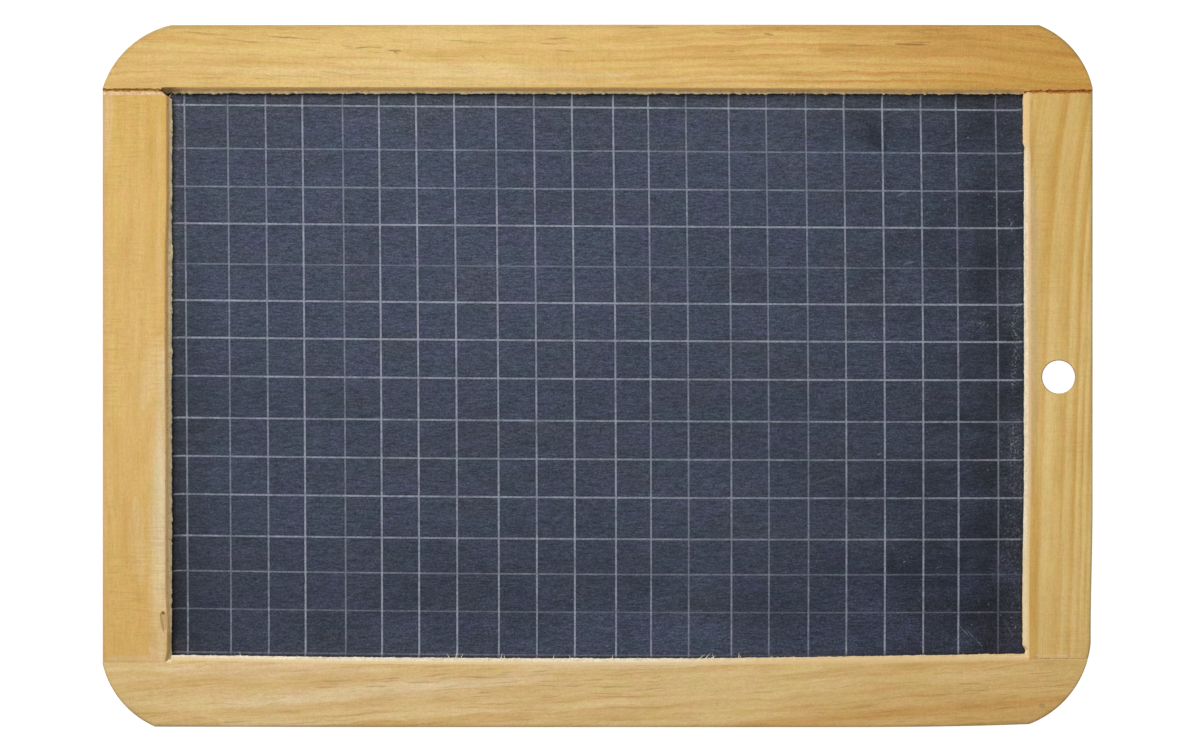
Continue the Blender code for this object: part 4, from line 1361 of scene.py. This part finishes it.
def slate():
    m = Mesh()
    lo_x, hi_x, lo_y, hi_y = -113.7, 113.4, -76.1, 76.5
    xs_l = -106.55 + np.concatenate([[0], np.cumsum(GAPS)]) * 1.0011
    ys_l = 69.56 - np.concatenate([[0], np.cumsum(GAPS)])[:15] * 1.0072

    def axis(lines, bites, lo, hi):
        pos, val = [], []
        for c, b in zip(lines, bites):
            w = 0.75 + 0.25 * b
            for o, s in ((-0.56, 0.0), (-0.37, -0.22), (-0.15, 0.9), (0.0, 1.0), (0.15, 0.9), (0.37, -0.22), (0.56, 0.0)):
                pos.append(c + o * w)
                val.append(s * b)
        order = np.argsort(pos)
        pos, val = np.array(pos)[order], np.array(val)[order]
        p, v = [lo], [0.0]
        for a, s in zip(pos, val):
            if a - p[-1] > 2.2 and s == 0.0 and v[-1] == 0.0:
                n = int((a - p[-1]) // 1.6)
                for q in np.linspace(p[-1], a, n + 2)[1:-1]:
                    p.append(q)
                    v.append(0.0)
            p.append(a)
            v.append(s)
        for q in np.linspace(p[-1], hi, max(2, int((hi - p[-1]) // 1.6) + 2))[1:]:
            p.append(q)
            v.append(0.0)
        return np.array(p), np.array(v)

    gx, vx = axis(xs_l, BITE, lo_x, hi_x)
    firm = np.array([1.2, 0.92, 0.9, 0.95, 0.72, 1.0, 0.92, 0.9, 0.88, 0.9, 0.92, 0.85, 0.66, 0.46, 0.45])
    gy, vy = axis(ys_l, np.array(BITE[:15]) * firm, lo_y, hi_y)
    X, Y = np.meshgrid(gx, gy)
    # lines were drawn a little askew and bowed
    inside = np.minimum(smooth(0, 5, X - lo_x) * smooth(0, 5, hi_x - X), smooth(0, 5, Y - lo_y) * smooth(0, 5, hi_y - Y))
    fx = np.clip((X + 106.5) / 210, 0, 1)
    d = Y + 1.07
    dx = -(0.00672 - 0.0022 * fx) * d - (1.86e-5 + 5.6e-5 * fx) * d * d
    fy = np.clip((69.64 - Y) / 131, 0, 1)
    dy = -(0.0066 - 0.002 * fy) * X + (4.57e-5 * fy) * X * X
    PX, PY = X + dx * inside, Y + dy * inside
    # some lines were drawn with less weight towards one end
    fade_v = 1 - 0.45 * smooth(95, 100, X) * smooth(-20, -60, Y)
    fade_v = fade_v * (1 - 0.28 * smooth(20, -50, Y) * (np.abs(X - xs_l[13]) < 4))
    fade_v = fade_v * (1 - 0.42 * np.exp(-(((Y - 32) / 24) ** 2)) * (np.abs(X - xs_l[20]) < 4))
    fade_h = 1 - 0.5 * smooth(40, 90, X) * smooth(-44, -48, Y) * (1 - smooth(-55, -58, Y))
    fade_h = fade_h * (1 - 0.18 * smooth(-60, 70, X) * smooth(-2, -8, Y))
    one, two = vx[None, :] * fade_v, vy[:, None] * fade_h
    groove = np.where(np.maximum(one, two) > 0, np.maximum(one, two), np.minimum(one, two))
    swell = 0.05 * np.sin(X / 31 + 0.7) * np.sin(Y / 23 + 1.9) + 0.02 * layered(X * 0.7 + Y * 1.9, 77, 9, 2)
    Z = SLATE_TOP - 0.06 + swell * 0.6 - 0.075 * np.maximum(groove, 0)
    rows = [m.points(np.c_[PX[j], PY[j], Z[j]]) for j in range(len(gy))]
    for a, b in zip(rows, rows[1:]):
        m.strip(a, b)
    # riven back, coarser
    bx = np.linspace(lo_x, hi_x, 90)
    by = np.linspace(lo_y, hi_y, 62)
    BX, BY = np.meshgrid(bx, by)
    edge = np.minimum(smooth(0, 4, BX - lo_x) * smooth(0, 4, hi_x - BX), smooth(0, 4, BY - lo_y) * smooth(0, 4, hi_y - BY))
    flake = 0.5 * layered(BX * 0.9 + BY * 0.35, 81, 14, 3) + 0.5 * layered(BY * 1.1 - BX * 0.25, 83, 11, 3)
    BZ = SLATE_BOT + 0.06 + 0.07 * flake * edge
    under = [m.points(np.c_[BX[j], BY[j], BZ[j]]) for j in range(len(by))]
    for a, b in zip(under, under[1:]):
        m.strip(a, b)
    # sawn edges join front and back
    def rim(a, b):
        """Joins two rows that share their ends but not their steps."""
        m.face(list(a) + list(b)[::-1])

    rim(rows[0], under[0])
    rim(rows[-1], under[-1])
    rim([r[0] for r in rows], [u[0] for u in under])
    rim([r[-1] for r in rows], [u[-1] for u in under])
    obj = m.object("slate_panel_ruled", [slate_look()], sharp=50)
    # the score attribute, found again from each front point
    flat = np.c_[PX.ravel(), PY.ravel(), Z.ravel()]
    table = {tuple(np.round(p, 3)): s for p, s in zip(flat, groove.ravel())}
    co = np.zeros(len(obj.data.vertices) * 3, np.float32)
    obj.data.vertices.foreach_get("co", co)
    co = np.round(co.reshape(-1, 3).astype(float) * 1000, 3)
    at = obj.data.attributes.new("score", "FLOAT", "POINT")
    at.data.foreach_set("value", np.array([table.get(tuple(p), 0.0) for p in co], np.float32))
    return obj


panel = slate()
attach(panel, "root")
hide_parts("slate_panel")


# ------------------------------------------------------------------ brads
def steel_look():
    k = Look("brad_steel")
    x, y, z = k.mm()
    spot = k.noise(x, y, z, 2.2, 2.2, 2.2, 3, 0.6, 2.0)
    colour = k.ramp(spot, [(0.35, lin(150, 146, 140)), (0.6, lin(120, 112, 102)), (0.75, lin(112, 78, 52))])
    k.bsdf.inputs["Metallic"].default_value = 1.0
    k.bump(spot, 0.3, 0.0001)
    return k.done(colour, k.span(spot, 0.3, 0.7, 0.3, 0.6), 0.5)


steel = steel_look()
for key, (bx, by) in BRADS.items():
    brad = lathe(
        "brad_" + key + "_wire",
        [
            (0, 8.0), (0.25, 7.6), (0.7, 6.4), (0.7, 1.0), (0.78, 0.95), (1.16, 0.92), (1.28, 0.84),
            (1.3, 0.7), (1.3, 0.5), (1.26, 0.36), (1.14, 0.28), (0.7, 0.25), (0.35, 0.27), (0, 0.28),
        ],
        bx, by, 32, steel,
    )
    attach(brad, "root")
    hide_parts("brad_" + key)


# ------------------------------------------------------------------ floor, light, camera
def floor():
    mesh = bpy.data.meshes.new("floor")
    bm = bmesh.new()
    bmesh.ops.create_grid(bm, x_segments=1, y_segments=1, size=4.0)
    bm.to_mesh(mesh)
    bm.free()
    obj = bpy.data.objects.new("floor", mesh)
    obj.location.z = -0.0002
    bpy.context.scene.collection.objects.link(obj)
    mat = bpy.data.materials.new("floor_white")
    mat.use_nodes = True
    b = mat.node_tree.nodes["Principled BSDF"]
    b.inputs["Base Color"].default_value = (0.16, 0.16, 0.16, 1)
    b.inputs["Roughness"].default_value = 0.9
    b.inputs["Specular IOR Level"].default_value = 0.0
    b.inputs["Emission Color"].default_value = (1, 1, 1, 1)
    b.inputs["Emission Strength"].default_value = 1.0
    mesh.materials.append(mat)


floor()

world = bpy.data.worlds.new("studio")
bpy.context.scene.world = world
world.use_nodes = True
world.node_tree.nodes["Background"].inputs[0].default_value = (1, 1, 1, 1)
world.node_tree.nodes["Background"].inputs[1].default_value = 0.313


def area(name, at, aim, size, watts, colour=(1, 1, 1)):
    data = bpy.data.lights.new(name, "AREA")
    data.shape, data.size = "DISK", size
    data.energy, data.color = watts, colour
    obj = bpy.data.objects.new(name, data)
    obj.location = at
    obj.rotation_mode = "QUATERNION"
    obj.rotation_quaternion = (Vector(aim) - Vector(at)).to_track_quat("-Z", "Y")
    bpy.context.scene.collection.objects.link(obj)


area("key", (-0.62, 0.58, 0.80), (0.0, 0.0, 0.0), 1.0, 14.4)

PX = 0.25893  # millimetres on the frame's face for one pixel of a 1200 by 755 picture
camera_data = bpy.data.cameras.new("camera")
camera = bpy.data.objects.new("camera", camera_data)
bpy.context.scene.collection.objects.link(camera)
bpy.context.scene.camera = camera
AWAY = 3.0
camera.location = ((600 - 597.56) * PX * MM, -(377.5 - 375.85) * PX * MM, T * MM + AWAY)
camera.rotation_euler = (0, 0, 0)
camera_data.sensor_width = 36.0
camera_data.lens = 36.0 * AWAY / (1200 * PX * MM)
camera_data.clip_end = 20.0

bpy.context.scene.view_settings.view_transform = "Standard"
bpy.context.scene.view_settings.look = "None"
